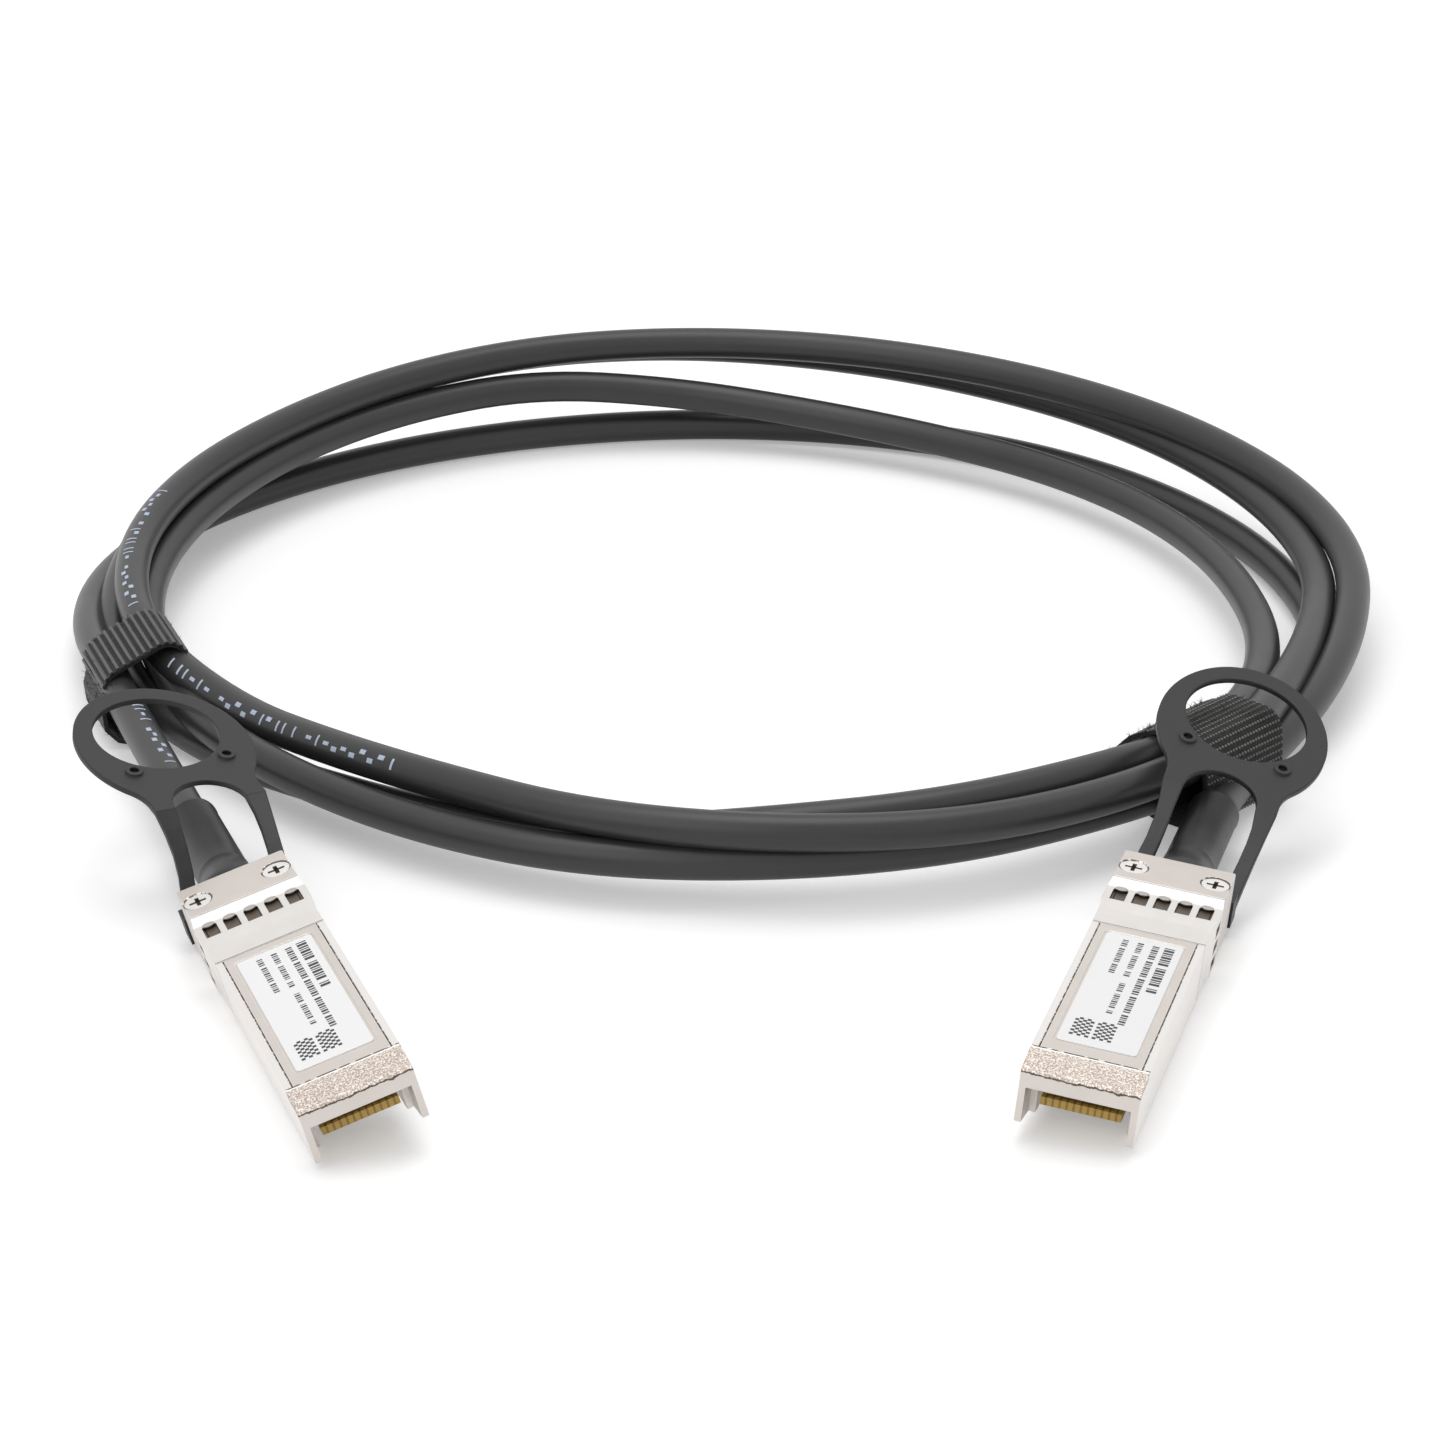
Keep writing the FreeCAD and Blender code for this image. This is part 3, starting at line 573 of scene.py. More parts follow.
@dataclass(frozen=True)
class Laminate:
    """Circuit board: dark solder mask, with a gilded, finely striped edge in the mouth."""

    pose: ModulePose
    mask: Colour = (0.035, 0.050, 0.026)
    gilt: Colour = (0.55, 0.36, 0.075)
    gap: Colour = (0.30, 0.18, 0.045)
    pitch: float = 0.8
    stripe: Span = (-1.0, 0.13)
    tongue: Span = (-60.0, -50.0)

    def build(self, name: str) -> bpy.types.Material:
        """Makes the material.

        Args:
            name: Name of the finish.

        Returns:
            The material.
        """
        material, graph, shader = new_material(name)
        local, axes = module_axes(graph, self.pose)
        drift = graph.noise(local, 1500.0, 3.0)
        wave = graph.math("PINGPONG", axes[0], self.pitch / 2 * MM)
        stripe = graph.band(wave, self.stripe, 0.04)
        tongue = graph.band(axes[1], self.tongue, 0.1)
        gilded = graph.blend(stripe, self.gilt, self.gap)
        links = graph.tree.links
        links.new(graph.blend(tongue, self.mask, gilded), shader.inputs["Base Color"])
        links.new(graph.spread(drift, 0.38, 0.5), shader.inputs["Roughness"])
        return material


@dataclass(frozen=True)
class BrightSheet:
    """Plated sheet: bright on the slider and its springs, darker on the collar's catches."""

    colour: Colour = (0.74, 0.71, 0.67)
    shade: Colour = (0.60, 0.56, 0.51)
    roughness: float = 0.26
    scratch_scale: float = 900.0

    def build(self, name: str) -> bpy.types.Material:
        """Makes the material.

        Args:
            name: Name of the finish.

        Returns:
            The material.
        """
        material, graph, shader = new_material(name)
        coords = graph.node("ShaderNodeTexCoord").outputs["Object"]
        blotch = graph.noise(coords, self.scratch_scale, 5.0)
        grain = graph.noise(coords, self.scratch_scale * 7, 2.0)
        bevel = graph.node("ShaderNodeBevel", {"Radius": 0.08 * MM}, samples=6)
        bump = graph.node("ShaderNodeBump", {"Strength": 0.25, "Distance": 0.02 * MM, "Height": grain,
                                             "Normal": bevel.outputs[0]}).outputs[0]
        links = graph.tree.links
        links.new(graph.blend(blotch, self.colour, self.shade), shader.inputs["Base Color"])
        links.new(graph.spread(blotch, self.roughness - 0.06, self.roughness + 0.1),
                  shader.inputs["Roughness"])
        links.new(bump, shader.inputs["Normal"])
        shader.inputs["Metallic"].default_value = 0.85
        return material


@dataclass(frozen=True)
class Moulding:
    """Moulded plastic or rubber with a fine spark-eroded grain."""

    colour: Colour
    shade: Colour
    roughness: float
    grain_scale: float = 3800.0
    relief: float = 0.03
    edge: float = 0.25
    specular: float = 0.5

    def build(self, name: str) -> bpy.types.Material:
        """Makes the material.

        Args:
            name: Name of the finish.

        Returns:
            The material.
        """
        material, graph, shader = new_material(name)
        coords = graph.node("ShaderNodeTexCoord").outputs["Object"]
        grain = graph.noise(coords, self.grain_scale, 3.0)
        blotch = graph.noise(coords, self.grain_scale / 16, 3.0)
        bevel = graph.node("ShaderNodeBevel", {"Radius": self.edge * MM}, samples=6)
        bump = graph.node("ShaderNodeBump", {"Strength": 0.6, "Distance": self.relief * MM, "Height": grain,
                                             "Normal": bevel.outputs[0]}).outputs[0]
        links = graph.tree.links
        links.new(graph.blend(blotch, self.colour, self.shade), shader.inputs["Base Color"])
        links.new(graph.spread(blotch, self.roughness - 0.05, self.roughness + 0.07),
                  shader.inputs["Roughness"])
        links.new(bump, shader.inputs["Normal"])
        shader.inputs["Specular IOR Level"].default_value = self.specular
        return material


@dataclass(frozen=True)
class Jacket:
    """Extruded cable jacket: satin, with faint drawing lines along its length."""

    colour: Colour = (0.026, 0.026, 0.028)
    shade: Colour = (0.038, 0.038, 0.040)
    roughness: float = 0.35
    specular: float = 0.42

    def build(self, name: str) -> bpy.types.Material:
        """Makes the material.

        Args:
            name: Name of the finish.

        Returns:
            The material.
        """
        material, graph, shader = new_material(name)
        uv = graph.node("ShaderNodeUVMap", uv_map="along").outputs[0]
        drawn = graph.node("ShaderNodeMapping", {"Vector": uv, "Scale": (60.0, 34.0, 1.0)}).outputs[0]
        coords = graph.node("ShaderNodeTexCoord").outputs["Object"]
        lines = graph.noise(drawn, 1.0, 3.0)
        grain = graph.noise(coords, 4200.0, 2.0)
        dust = graph.noise(coords, 120.0, 5.0)
        height = graph.math("ADD", graph.math("MULTIPLY", lines, 0.7), graph.math("MULTIPLY", grain, 0.3))
        bump = graph.node("ShaderNodeBump", {"Strength": 0.35, "Distance": 0.03 * MM,
                                             "Height": height}).outputs[0]
        links = graph.tree.links
        links.new(graph.blend(dust, self.colour, self.shade), shader.inputs["Base Color"])
        links.new(graph.spread(dust, self.roughness - 0.04, self.roughness + 0.08),
                  shader.inputs["Roughness"])
        links.new(bump, shader.inputs["Normal"])
        shader.inputs["Specular IOR Level"].default_value = self.specular
        return material


@dataclass(frozen=True)
class Textile:
    """Woven nylon of a tie: dull black with a soft sheen and a fine over-and-under weave."""

    colour: Colour
    shade: Colour
    thread: float = 1700.0

    def build(self, name: str) -> bpy.types.Material:
        """Makes the material.

        Args:
            name: Name of the finish.

        Returns:
            The material.
        """
        material, graph, shader = new_material(name)
        coords = graph.node("ShaderNodeTexCoord").outputs["Object"]
        fibre = graph.noise(coords, self.thread * 2.4, 4.0)
        cells = graph.node("ShaderNodeTexVoronoi", {"Vector": coords,
                                                    "Scale": self.thread}).outputs["Distance"]
        height = graph.math("ADD", graph.math("MULTIPLY", cells, -0.6), graph.math("MULTIPLY", fibre, 0.4))
        bump = graph.node("ShaderNodeBump", {"Strength": 0.8, "Distance": 0.12 * MM,
                                             "Height": height}).outputs[0]
        links = graph.tree.links
        links.new(graph.blend(fibre, self.colour, self.shade), shader.inputs["Base Color"])
        links.new(graph.spread(fibre, 0.7, 0.95), shader.inputs["Roughness"])
        links.new(bump, shader.inputs["Normal"])
        shader.inputs["Sheen Weight"].default_value = 0.25
        shader.inputs["Sheen Roughness"].default_value = 0.5
        shader.inputs["Specular IOR Level"].default_value = 0.25
        return material


@dataclass(frozen=True)
class Flat:
    """Film, ink, laminate or plating whose colour only drifts a little."""

    colour: Colour
    shade: Colour
    roughness: float
    metallic: float = 0.0
    scale: float = 1500.0

    def build(self, name: str) -> bpy.types.Material:
        """Makes the material.

        Args:
            name: Name of the finish.

        Returns:
            The material.
        """
        material, graph, shader = new_material(name)
        coords = graph.node("ShaderNodeTexCoord").outputs["Object"]
        drift = graph.noise(coords, self.scale, 4.0)
        links = graph.tree.links
        links.new(graph.blend(drift, self.colour, self.shade), shader.inputs["Base Color"])
        links.new(graph.spread(drift, self.roughness - 0.05, self.roughness + 0.08),
                  shader.inputs["Roughness"])
        shader.inputs["Metallic"].default_value = self.metallic
        return material


# ---- Cable -------------------------------------------------------------------------------
@dataclass
class Cable:
    """The twinaxial cable from one module to the other: its route round the ring and its jacket."""

    diameter: float = 4.8
    centre: Slot = (1.2, 105.6)
    step: float = 15.0
    sides: int = 28
    resolution: int = 8
    length: float = 2.10
    axis_height: float = CABLE_AXIS
    exit_depth: float = 0.5
    lead_run: float = 62.0
    boot_run: float = 26.0
    left_angle: float = 200.0
    right_angle: float = -41.5
    tie_shift: float = 1.2
    back_passes: list[list[Point]] = field(default_factory=lambda: [
        [(200, 86.7, 7.1), (165, 89.9, 3.2), (110, 87.3, 2.4), (60, 86.5, 2.4), (10, 85.0, 2.4),
         (-20, 86.0, 2.4), (-41.5, 84.6, 3.4)],
        [(200, 79.0, 5.4), (165, 81.8, 7.6), (110, 85.6, 11.2), (85, 81.2, 7.4), (60, 77.5, 5.5),
         (10, 74.6, 5.5), (-20, 78.8, 6.5), (-41.5, 84.6, 8.9)],
        [(200, 83.6, 3.35), (165, 86.6, 7.6), (110, 92.6, 14.2), (60, 91.0, 11.3), (10, 87.0, 7.6),
         (-20, 83.3, 8.2), (-41.5, 88.8, 9.1)],
        [(200, 80.8, 9.9), (165, 84.0, 12.0), (140, 85.0, 14.0), (110, 87.5, 16.1), (60, 87.6, 14.8),
         (10, 91.0, 10.5), (-20, 87.9, 6.8), (-41.5, 88.9, 3.6)],
    ])
    front_passes: list[list[Point]] = field(default_factory=lambda: [
        [(-41.5, 84.6, 3.4), (-57, 87.4, 5.9), (-67, 89.0, 6.3), (-90, 88.8, 6.2), (-108, 87.8, 6.0),
         (-120, 83.5, 5.6), (-136, 81.8, 5.9), (-150, 81.0, 6.2), (-160, 79.0, 5.4)],
        [(-41.5, 84.6, 8.9), (-56, 84.4, 9.9), (-67, 86.3, 10.6), (-90, 83.8, 8.6), (-108, 82.4, 5.2),
         (-121, 78.6, 4.4), (-136, 78.4, 2.8), (-150, 81.6, 2.5), (-160, 83.6, 3.35)],
        [(-41.5, 88.8, 9.1), (-58, 90.6, 9.3), (-68, 92.0, 9.8), (-90, 89.4, 10.7), (-109, 83.4, 10.2),
         (-121, 77.8, 9.6), (-135, 76.0, 7.8), (-145, 76.3, 7.0), (-160, 80.8, 9.9)],
    ])

    @staticmethod
    def smooth(values: list[float], stations: list[float], at: float) -> float:
        """Gives a smooth value between unevenly spaced stations.

        Args:
            values: Value at each station.
            stations: Falling angles of the stations.
            at: Angle of the wanted value.

        Returns:
            The value there.
        """
        index = 0
        while index < len(stations) - 2 and at < stations[index + 1]:
            index += 1
        span = stations[index + 1] - stations[index]
        share = (at - stations[index]) / span
        slopes = []
        for k in (index, index + 1):
            low, high = max(k - 1, 0), min(k + 1, len(stations) - 1)
            slopes.append((values[high] - values[low]) / (stations[high] - stations[low]) * span)
        square, cube = share ** 2, share ** 3
        return ((2 * cube - 3 * square + 1) * values[index] + (cube - 2 * square + share) * slopes[0]
                + (3 * square - 2 * cube) * values[index + 1] + (cube - square) * slopes[1])

    def ring_point(self, angle: float, radius: float, height: float) -> Vector:
        """Gives a point of the ring.

        Args:
            angle: Angle round the ring's middle in degrees.
            radius: Distance from the middle in millimetres.
            height: Height above the table in millimetres.

        Returns:
            The point in metres.
        """
        heading = math.radians(angle)
        return Vector((self.centre[0] + radius * math.cos(heading),
                       self.centre[1] + radius * math.sin(heading), height)) * MM

    def turn_points(self, stations: list[Point], skip_first: bool) -> list[Vector]:
        """Gives the control points of one pass round the ring.

        Args:
            stations: Angle, radius and height along the pass.
            skip_first: Whether the point at the first tie is left out.

        Returns:
            Control points, a little outside the wanted arc, as the spline cuts inside them.
        """
        angles = [s[0] for s in stations]
        span = angles[0] - angles[-1]
        count = max(2, round(span / self.step))
        swell = 1 / math.cos(math.radians(span / count / 2))
        points = []
        for k in range(1 if skip_first else 0, count + 1):
            angle = angles[0] - span * k / count
            radius = self.smooth([s[1] for s in stations], angles, angle) * swell
            height = max(self.smooth([s[2] for s in stations], angles, angle), self.diameter / 2)
            points.append(self.ring_point(angle, radius, height))
        return points

    def route(self, left: ModulePose, right: ModulePose) -> list[Vector]:
        """Gives the control points from the left module to the right one.

        Args:
            left: Place of the left module.
            right: Place of the right module.

        Returns:
            Control points of the spline.
        """
        points = [left.point(0, self.exit_depth, self.axis_height),
                  left.point(0, self.lead_run, self.axis_height)]
        order = [self.back_passes[0], self.front_passes[0], self.back_passes[1], self.front_passes[1],
                 self.back_passes[2], self.front_passes[2], self.back_passes[3]]
        for index, stations in enumerate(order):
            points += self.turn_points(stations, skip_first=index > 0)
        points += [right.point(0, self.boot_run, self.axis_height),
                   right.point(0, self.exit_depth, self.axis_height)]
        return points

    def spline_points(self, points: list[Vector]) -> list[Vector]:
        """Reads the smooth line that a NURBS spline draws from its control points.

        Args:
            points: Control points.

        Returns:
            Closely spaced points of the line.
        """
        curve = bpy.data.curves.new("cable_route", "CURVE")
        curve.dimensions = "3D"
        curve.resolution_u = self.resolution
        spline = curve.splines.new("NURBS")
        spline.points.add(len(points) - 1)
        for place, point in zip(spline.points, points):
            place.co = (*point, 1.0)
        spline.order_u = 3
        spline.use_endpoint_u = True
        holder = bpy.data.objects.new("cable_route", curve)
        bpy.context.scene.collection.objects.link(holder)
        graph = bpy.context.evaluated_depsgraph_get()
        line = bpy.data.meshes.new_from_object(holder.evaluated_get(graph))
        found = [vertex.co.copy() for vertex in line.vertices]
        bpy.data.objects.remove(holder)
        bpy.data.meshes.remove(line)
        return found

    @staticmethod
    def axes_along(line: list[Vector]) -> list[tuple[Vector, Vector, Vector]]:
        """Gives the directions at each point of a nearly level line.

        Args:
            line: Points of the line.

        Returns:
            Heading, side and crown at each point.
        """
        axes = []
        for index in range(len(line)):
            ahead = line[min(index + 1, len(line) - 1)] - line[max(index - 1, 0)]
            heading = ahead.normalized()
            side = heading.cross(Vector((0, 0, 1))).normalized()
            axes.append((heading, side, side.cross(heading)))
        return axes

    @staticmethod
    def distances(line: list[Vector]) -> list[float]:
        """Gives the distance along the line at each of its points.

        Args:
            line: Points of the line.

        Returns:
            Distances in metres.
        """
        run = [0.0]
        for before, after in zip(line, line[1:]):
            run.append(run[-1] + (after - before).length)
        return run

    def tube(self, line: list[Vector], jacket: bpy.types.Material) -> bpy.types.Object:
        """Builds the jacket as a closed tube along the line.

        Args:
            line: Points of the cable's axis.
            jacket: Finish of the jacket.

        Returns:
            The jacket, with a UV map along and round it.
        """
        radius = self.diameter / 2 * MM
        points: list[Vector] = []
        for place, (_, side, crown) in zip(line, self.axes_along(line)):
            for k in range(self.sides):
                turn = 2 * math.pi * k / self.sides
                points.append(place + (crown * math.cos(turn) + side * math.sin(turn)) * radius)
        faces: list[tuple[int, ...]] = []
        for ring in range(len(line) - 1):
            for k in range(self.sides):
                a, b = ring * self.sides + k, ring * self.sides + (k + 1) % self.sides
                faces.append((a, b, b + self.sides, a + self.sides))
        last = (len(line) - 1) * self.sides
        faces.append(tuple(reversed(range(self.sides))))
        faces.append(tuple(last + k for k in range(self.sides)))
        piece = mesh_object("cable_jacket", points, faces, jacket, smooth=True)
        run = self.distances(line)
        layer = piece.data.uv_layers.new(name="along")
        for polygon in piece.data.polygons:
            turns = [piece.data.loops[i].vertex_index % self.sides for i in polygon.loop_indices]
            wraps = max(turns) - min(turns) > self.sides / 2
            for i, k in zip(polygon.loop_indices, turns):
                ring = piece.data.loops[i].vertex_index // self.sides
                share = (k + self.sides if wraps and k < self.sides / 2 else k) / self.sides
                layer.data[i].uv = (run[ring], share)
        return piece


@dataclass(frozen=True)
class PrintRow:
    """One row of marks: its run from the left tie in millimetres, its facing and its gaps."""

    on_lead: bool
    start: float
    end: float
    facing: Point
    gap_every: int


@dataclass
class JacketPrint:
    """Rows of plain ink dashes on the jacket, in place of its lettering."""

    cable: Cable
    height: float = 1.5
    lift: float = 0.03
    pitch: float = 1.75
    facets: int = 4
    narrow: Span = (0.1, 0.45)
    late: Span = (0.5, 0.85)
    wide: Span = (0.1, 1.15)
    bar_half: float = 0.25
    split_half: float = 0.1
    past_lead: float = 0.30
    rows: list[PrintRow] = field(default_factory=lambda: [
        PrintRow(False, -56.0, -6.0, (-0.35, -0.80, 0.62), 11),
        PrintRow(True, -36.0, -10.0, (0.35, -0.55, 0.75), 8),
        PrintRow(False, 9.0, 52.0, (-0.15, -0.55, 0.80), 9)])

    def dash(self, line: list[Vector], run: list[float], at: float, facing: Vector,
             box: tuple[float, float, float, float], points: list[Vector],
             faces: list[tuple[int, ...]]) -> None:
        """Adds one dash that follows the jacket.

        Args:
            line: Points of the cable's axis.
            run: Distance along the line at each point, in metres.
            at: Distance of the mark's cell along the line, in metres.
            facing: Direction that the middle of the row faces.
            box: Dash inside its cell: start and end along, start and end across, in millimetres.
            points: Vertices, added to.
            faces: Faces, added to.
        """
        radius = (self.cable.diameter / 2 + self.lift) * MM
        first = len(points)
        steps = self.facets
        for along in box[:2]:
            distance = at + along * MM
            index = max(i for i, r in enumerate(run) if r <= distance)
            share = (distance - run[index]) / (run[index + 1] - run[index])
            place = line[index].lerp(line[index + 1], share)
            _, side, crown = Cable.axes_along(line[index:index + 2])[0]
            middle = math.atan2(facing.dot(side), facing.dot(crown))
            for k in range(steps + 1):
                across = (box[2] + (box[3] - box[2]) * k / steps) * MM
                turn = middle + across / radius
                points.append(place + (crown * math.cos(turn) + side * math.sin(turn)) * radius)
        for k in range(steps):
            faces.append((first + k, first + k + 1, first + steps + 2 + k, first + steps + 1 + k))

    def build(self, line: list[Vector], ink: bpy.types.Material) -> bpy.types.Object:
        """Builds every row of dashes as one piece.

        Args:
            line: Points of the cable's axis.
            ink: Finish of the print.

        Returns:
            The print.
        """
        run = self.cable.distances(line)
        half = self.height / 2
        marks = [(*self.narrow, -half, half), (*self.wide, -self.bar_half, self.bar_half),
                 (*self.wide, self.split_half, half), (*self.late, -half, half),
                 (*self.wide, -half, -self.split_half)]
        front_tie = self.cable.ring_point(*self.cable.front_passes[-1][-1])
        lead_tie = self.cable.ring_point(*self.cable.back_passes[0][0])
        front_end = self.nearest(line, run, front_tie, self.past_lead)
        lead_end = self.nearest(line, run, lead_tie, 0.0)
        points: list[Vector] = []
        faces: list[tuple[int, ...]] = []
        for row in self.rows:
            tied = lead_end if row.on_lead else front_end
            cell, at = 0, tied + row.start * MM
            while at + self.pitch * MM < tied + row.end * MM:
                if cell % row.gap_every != row.gap_every - 1:
                    box = marks[(cell * 7 + cell // 3) % len(marks)]
                    self.dash(line, run, at, Vector(row.facing), box, points, faces)
                cell += 1
                at += self.pitch * MM
        return mesh_object("jacket_print", points, faces, ink)

    @staticmethod
    def nearest(line: list[Vector], run: list[float], target: Vector, after: float) -> float:
        """Gives the distance along the line of the last point that passes close to a target.

        Args:
            line: Points of the cable's axis.
            run: Distance along the line at each point, in metres.
            target: Place that the line passes.
            after: Distance along the line before which points don't count, in metres.

        Returns:
            The distance in metres.
        """
        found = [(round((place - target).length, 4), -distance) for place, distance in zip(line, run)
                 if distance >= after]
        return -min(found)[1]


# ---- Ties --------------------------------------------------------------------------------
@dataclass
class Tie:
    """Hook-and-loop strap round the bundle, with its outer weave, frayed edges and tail."""

    name: str
    node: str
    cable: Cable
    angle: float
    slots: list[Slot]
    weave: Weave
    tail: list[Point]
    width: float = 13.0
    base: float = 0.55
    rib_pitch: float = 1.06
    rib_radius: float = 0.31
    loop_pitch: float = 1.0
    loop_step: float = 0.60
    loop_radius: float = 0.21
    inner_gap: float = 0.02
    rib_lift: float = 0.02
    loop_lift: float = 0.05
    bend_step: float = 12.0
    tail_inset: float = 0.6
    fibre: tuple[float, float, float] = (0.045, 0.01, 0.8)
    fibre_tilt: float = 1.3
    tail_fray: float = 1.6e6
    band_fray: float = 2.5e5
    seed: int = 4

    def axes(self) -> tuple[Vector, Vector]:
        """Gives the directions of the tie.

        Returns:
            The radial direction, and the direction along the bundle.
        """
        heading = math.radians(self.angle)
        return (Vector((math.cos(heading), math.sin(heading), 0)),
                Vector((-math.sin(heading), math.cos(heading), 0)))

    def loop(self, offset: float) -> list[Slot]:
        """Gives the closed outline round the cables, in the tie's plane.

        Args:
            offset: Distance from the cables' axes in millimetres.

        Returns:
            Radius and height of each point.
        """
        middle = (sum(s[0] for s in self.slots) / len(self.slots),
                  sum(s[1] for s in self.slots) / len(self.slots))
        hull = sorted(self.slots, key=lambda s: math.atan2(s[1] - middle[1], s[0] - middle[0]))
        outline: list[Slot] = []
        for index, (r, z) in enumerate(hull):
            before, after = hull[index - 1], hull[(index + 1) % len(hull)]
            start = math.atan2(-(r - before[0]), z - before[1])
            end = math.atan2(-(after[0] - r), after[1] - z)
            while end < start:
                end += 2 * math.pi
            steps = max(2, round(math.degrees(end - start) / self.bend_step))
            for k in range(steps + 1):
                turn = start + (end - start) * k / steps
                outline.append((r + offset * math.cos(turn), z + offset * math.sin(turn)))
        return outline

    def place(self, radius: float, height: float, along: float) -> Vector:
        """Gives a point of the tie.

        Args:
            radius: Distance from the ring's middle in millimetres.
            height: Height above the table in millimetres.
            along: Distance along the bundle from the tie's middle in millimetres.

        Returns:
            The point in metres.
        """
        radial, forward = self.axes()
        middle = Vector((*self.cable.centre, 0))
        return (middle + radial * radius + forward * along + Vector((0, 0, height))) * MM

    def strap(self, cloth: bpy.types.Material) -> bpy.types.Object:
        """Builds the strap itself as a closed band, whose faces build() turns outwards.

        Args:
            cloth: Finish of the strap.

        Returns:
            The band.
        """
        inner = self.loop(self.cable.diameter / 2 + self.inner_gap)
        outer = self.loop(self.cable.diameter / 2 + self.base)
        half = self.width / 2
        count = len(inner)
        points = [self.place(r, z, along) for along in (-half, half) for ring in (inner, outer)
                  for r, z in ring]
        faces = []
        for k in range(count):
            n = (k + 1) % count
            a, b, c, d = 0, count, 2 * count, 3 * count
            faces.append((b + k, b + n, d + n, d + k))
            faces.append((a + n, a + k, c + k, c + n))
            faces.append((a + k, a + n, b + n, b + k))
            faces.append((c + n, c + k, d + k, d + n))
        return mesh_object(f"{self.name}_band", points, faces, cloth)

    def tail_strip(self, cloth: bpy.types.Material) -> bpy.types.Object:
        """Builds the loose end as a bent strip, whose faces build() turns outwards.

        Args:
            cloth: Finish of the strap.

        Returns:
            The strip.
        """
        half = self.width / 2 - self.tail_inset
        points: list[Vector] = []
        for index, (radius, height, shift) in enumerate(self.tail):
            before = self.tail[max(index - 1, 0)]
            after = self.tail[min(index + 1, len(self.tail) - 1)]
            run = Vector((after[0] - before[0], after[1] - before[1])).normalized()
            up = Vector((-run.y, run.x)) * (self.base / 2)
            for sign in (-1, 1):
                for along in (-half, half):
                    points.append(self.place(radius + sign * up.x, height + sign * up.y, along + shift))
        faces: list[tuple[int, ...]] = [(0, 1, 3, 2)]
        for k in range(len(self.tail) - 1):
            a = 4 * k
            faces += [(a, a + 4, a + 5, a + 1), (a + 2, a + 3, a + 7, a + 6),
                      (a, a + 2, a + 6, a + 4), (a + 1, a + 5, a + 7, a + 3)]
        last = 4 * (len(self.tail) - 1)
        faces.append((last, last + 2, last + 3, last + 1))
        return mesh_object(f"{self.name}_tail", points, faces, cloth)

    def guide(self, offset: float) -> bpy.types.Object:
        """Makes the closed line that the weave is set out on.

        Args:
            offset: Height of the line above the jackets in millimetres.

        Returns:
            The line as an object of edges.
        """
        outline = self.loop(self.cable.diameter / 2 + offset)
        mesh = bpy.data.meshes.new(f"{self.name}_guide")
        mesh.from_pydata([tuple(self.place(r, z, 0)) for r, z in outline],
                         [(k, (k + 1) % len(outline)) for k in range(len(outline))], [])
        holder = bpy.data.objects.new(f"{self.name}_guide", mesh)
        bpy.context.scene.collection.objects.link(holder)
        return holder

    def weave_piece(self, cloth: bpy.types.Material) -> bpy.types.Object:
        """Sets out the outer weave with a geometry node tree.

        Args:
            cloth: Finish of the weave.

        Returns:
            The weave as a plain mesh.
        """
        ribs = self.weave is Weave.RIBS
        tree = GrownPiece(f"{self.name}_weave", {
            "Pitch": (self.rib_pitch if ribs else self.loop_pitch) * MM,
            "Thread radius": (self.rib_radius if ribs else self.loop_radius) * MM,
            "Strap width": self.width * MM})
        graph, source = tree.graph, tree.source
        _, forward = self.axes()
        turn = Vector((0, 0, 1)).rotation_difference(forward).to_euler()
        curve = graph.node("GeometryNodeMeshToCurve", {0: source[0]}).outputs[0]
        spaced = graph.node("GeometryNodeResampleCurve", {"Curve": curve, "Length": source[1]},
                            mode="LENGTH").outputs[0]
        if ribs:
            rib = graph.node("GeometryNodeMeshCylinder", {"Vertices": 8, "Radius": source[2],
                                                          "Depth": source[3]}).outputs[0]
            placed = graph.node("GeometryNodeInstanceOnPoints", {"Points": spaced, "Instance": rib,
                                                                 "Rotation": turn}).outputs[0]
        else:
            count = int(self.width / self.loop_step)
            start = forward * (-self.loop_step * (count - 1) / 2 * MM)
            row = graph.node("GeometryNodeMeshLine", {"Count": count, "Start Location": start,
                                                      "Offset": forward * (self.loop_step * MM)}).outputs[0]
            rows = graph.node("GeometryNodeInstanceOnPoints", {"Points": spaced,
                                                               "Instance": row}).outputs[0]
            grid = graph.node("GeometryNodeRealizeInstances", {0: rows}).outputs[0]
            bead = graph.node("GeometryNodeMeshIcoSphere", {"Radius": source[2],
                                                            "Subdivisions": 1}).outputs[0]
            placed = graph.node("GeometryNodeInstanceOnPoints", {"Points": grid,
                                                                 "Instance": bead}).outputs[0]
        holder = self.guide(self.base + (self.rib_lift if ribs else self.loop_lift))
        return tree.grow(placed, cloth, holder, f"{self.name}_weave")

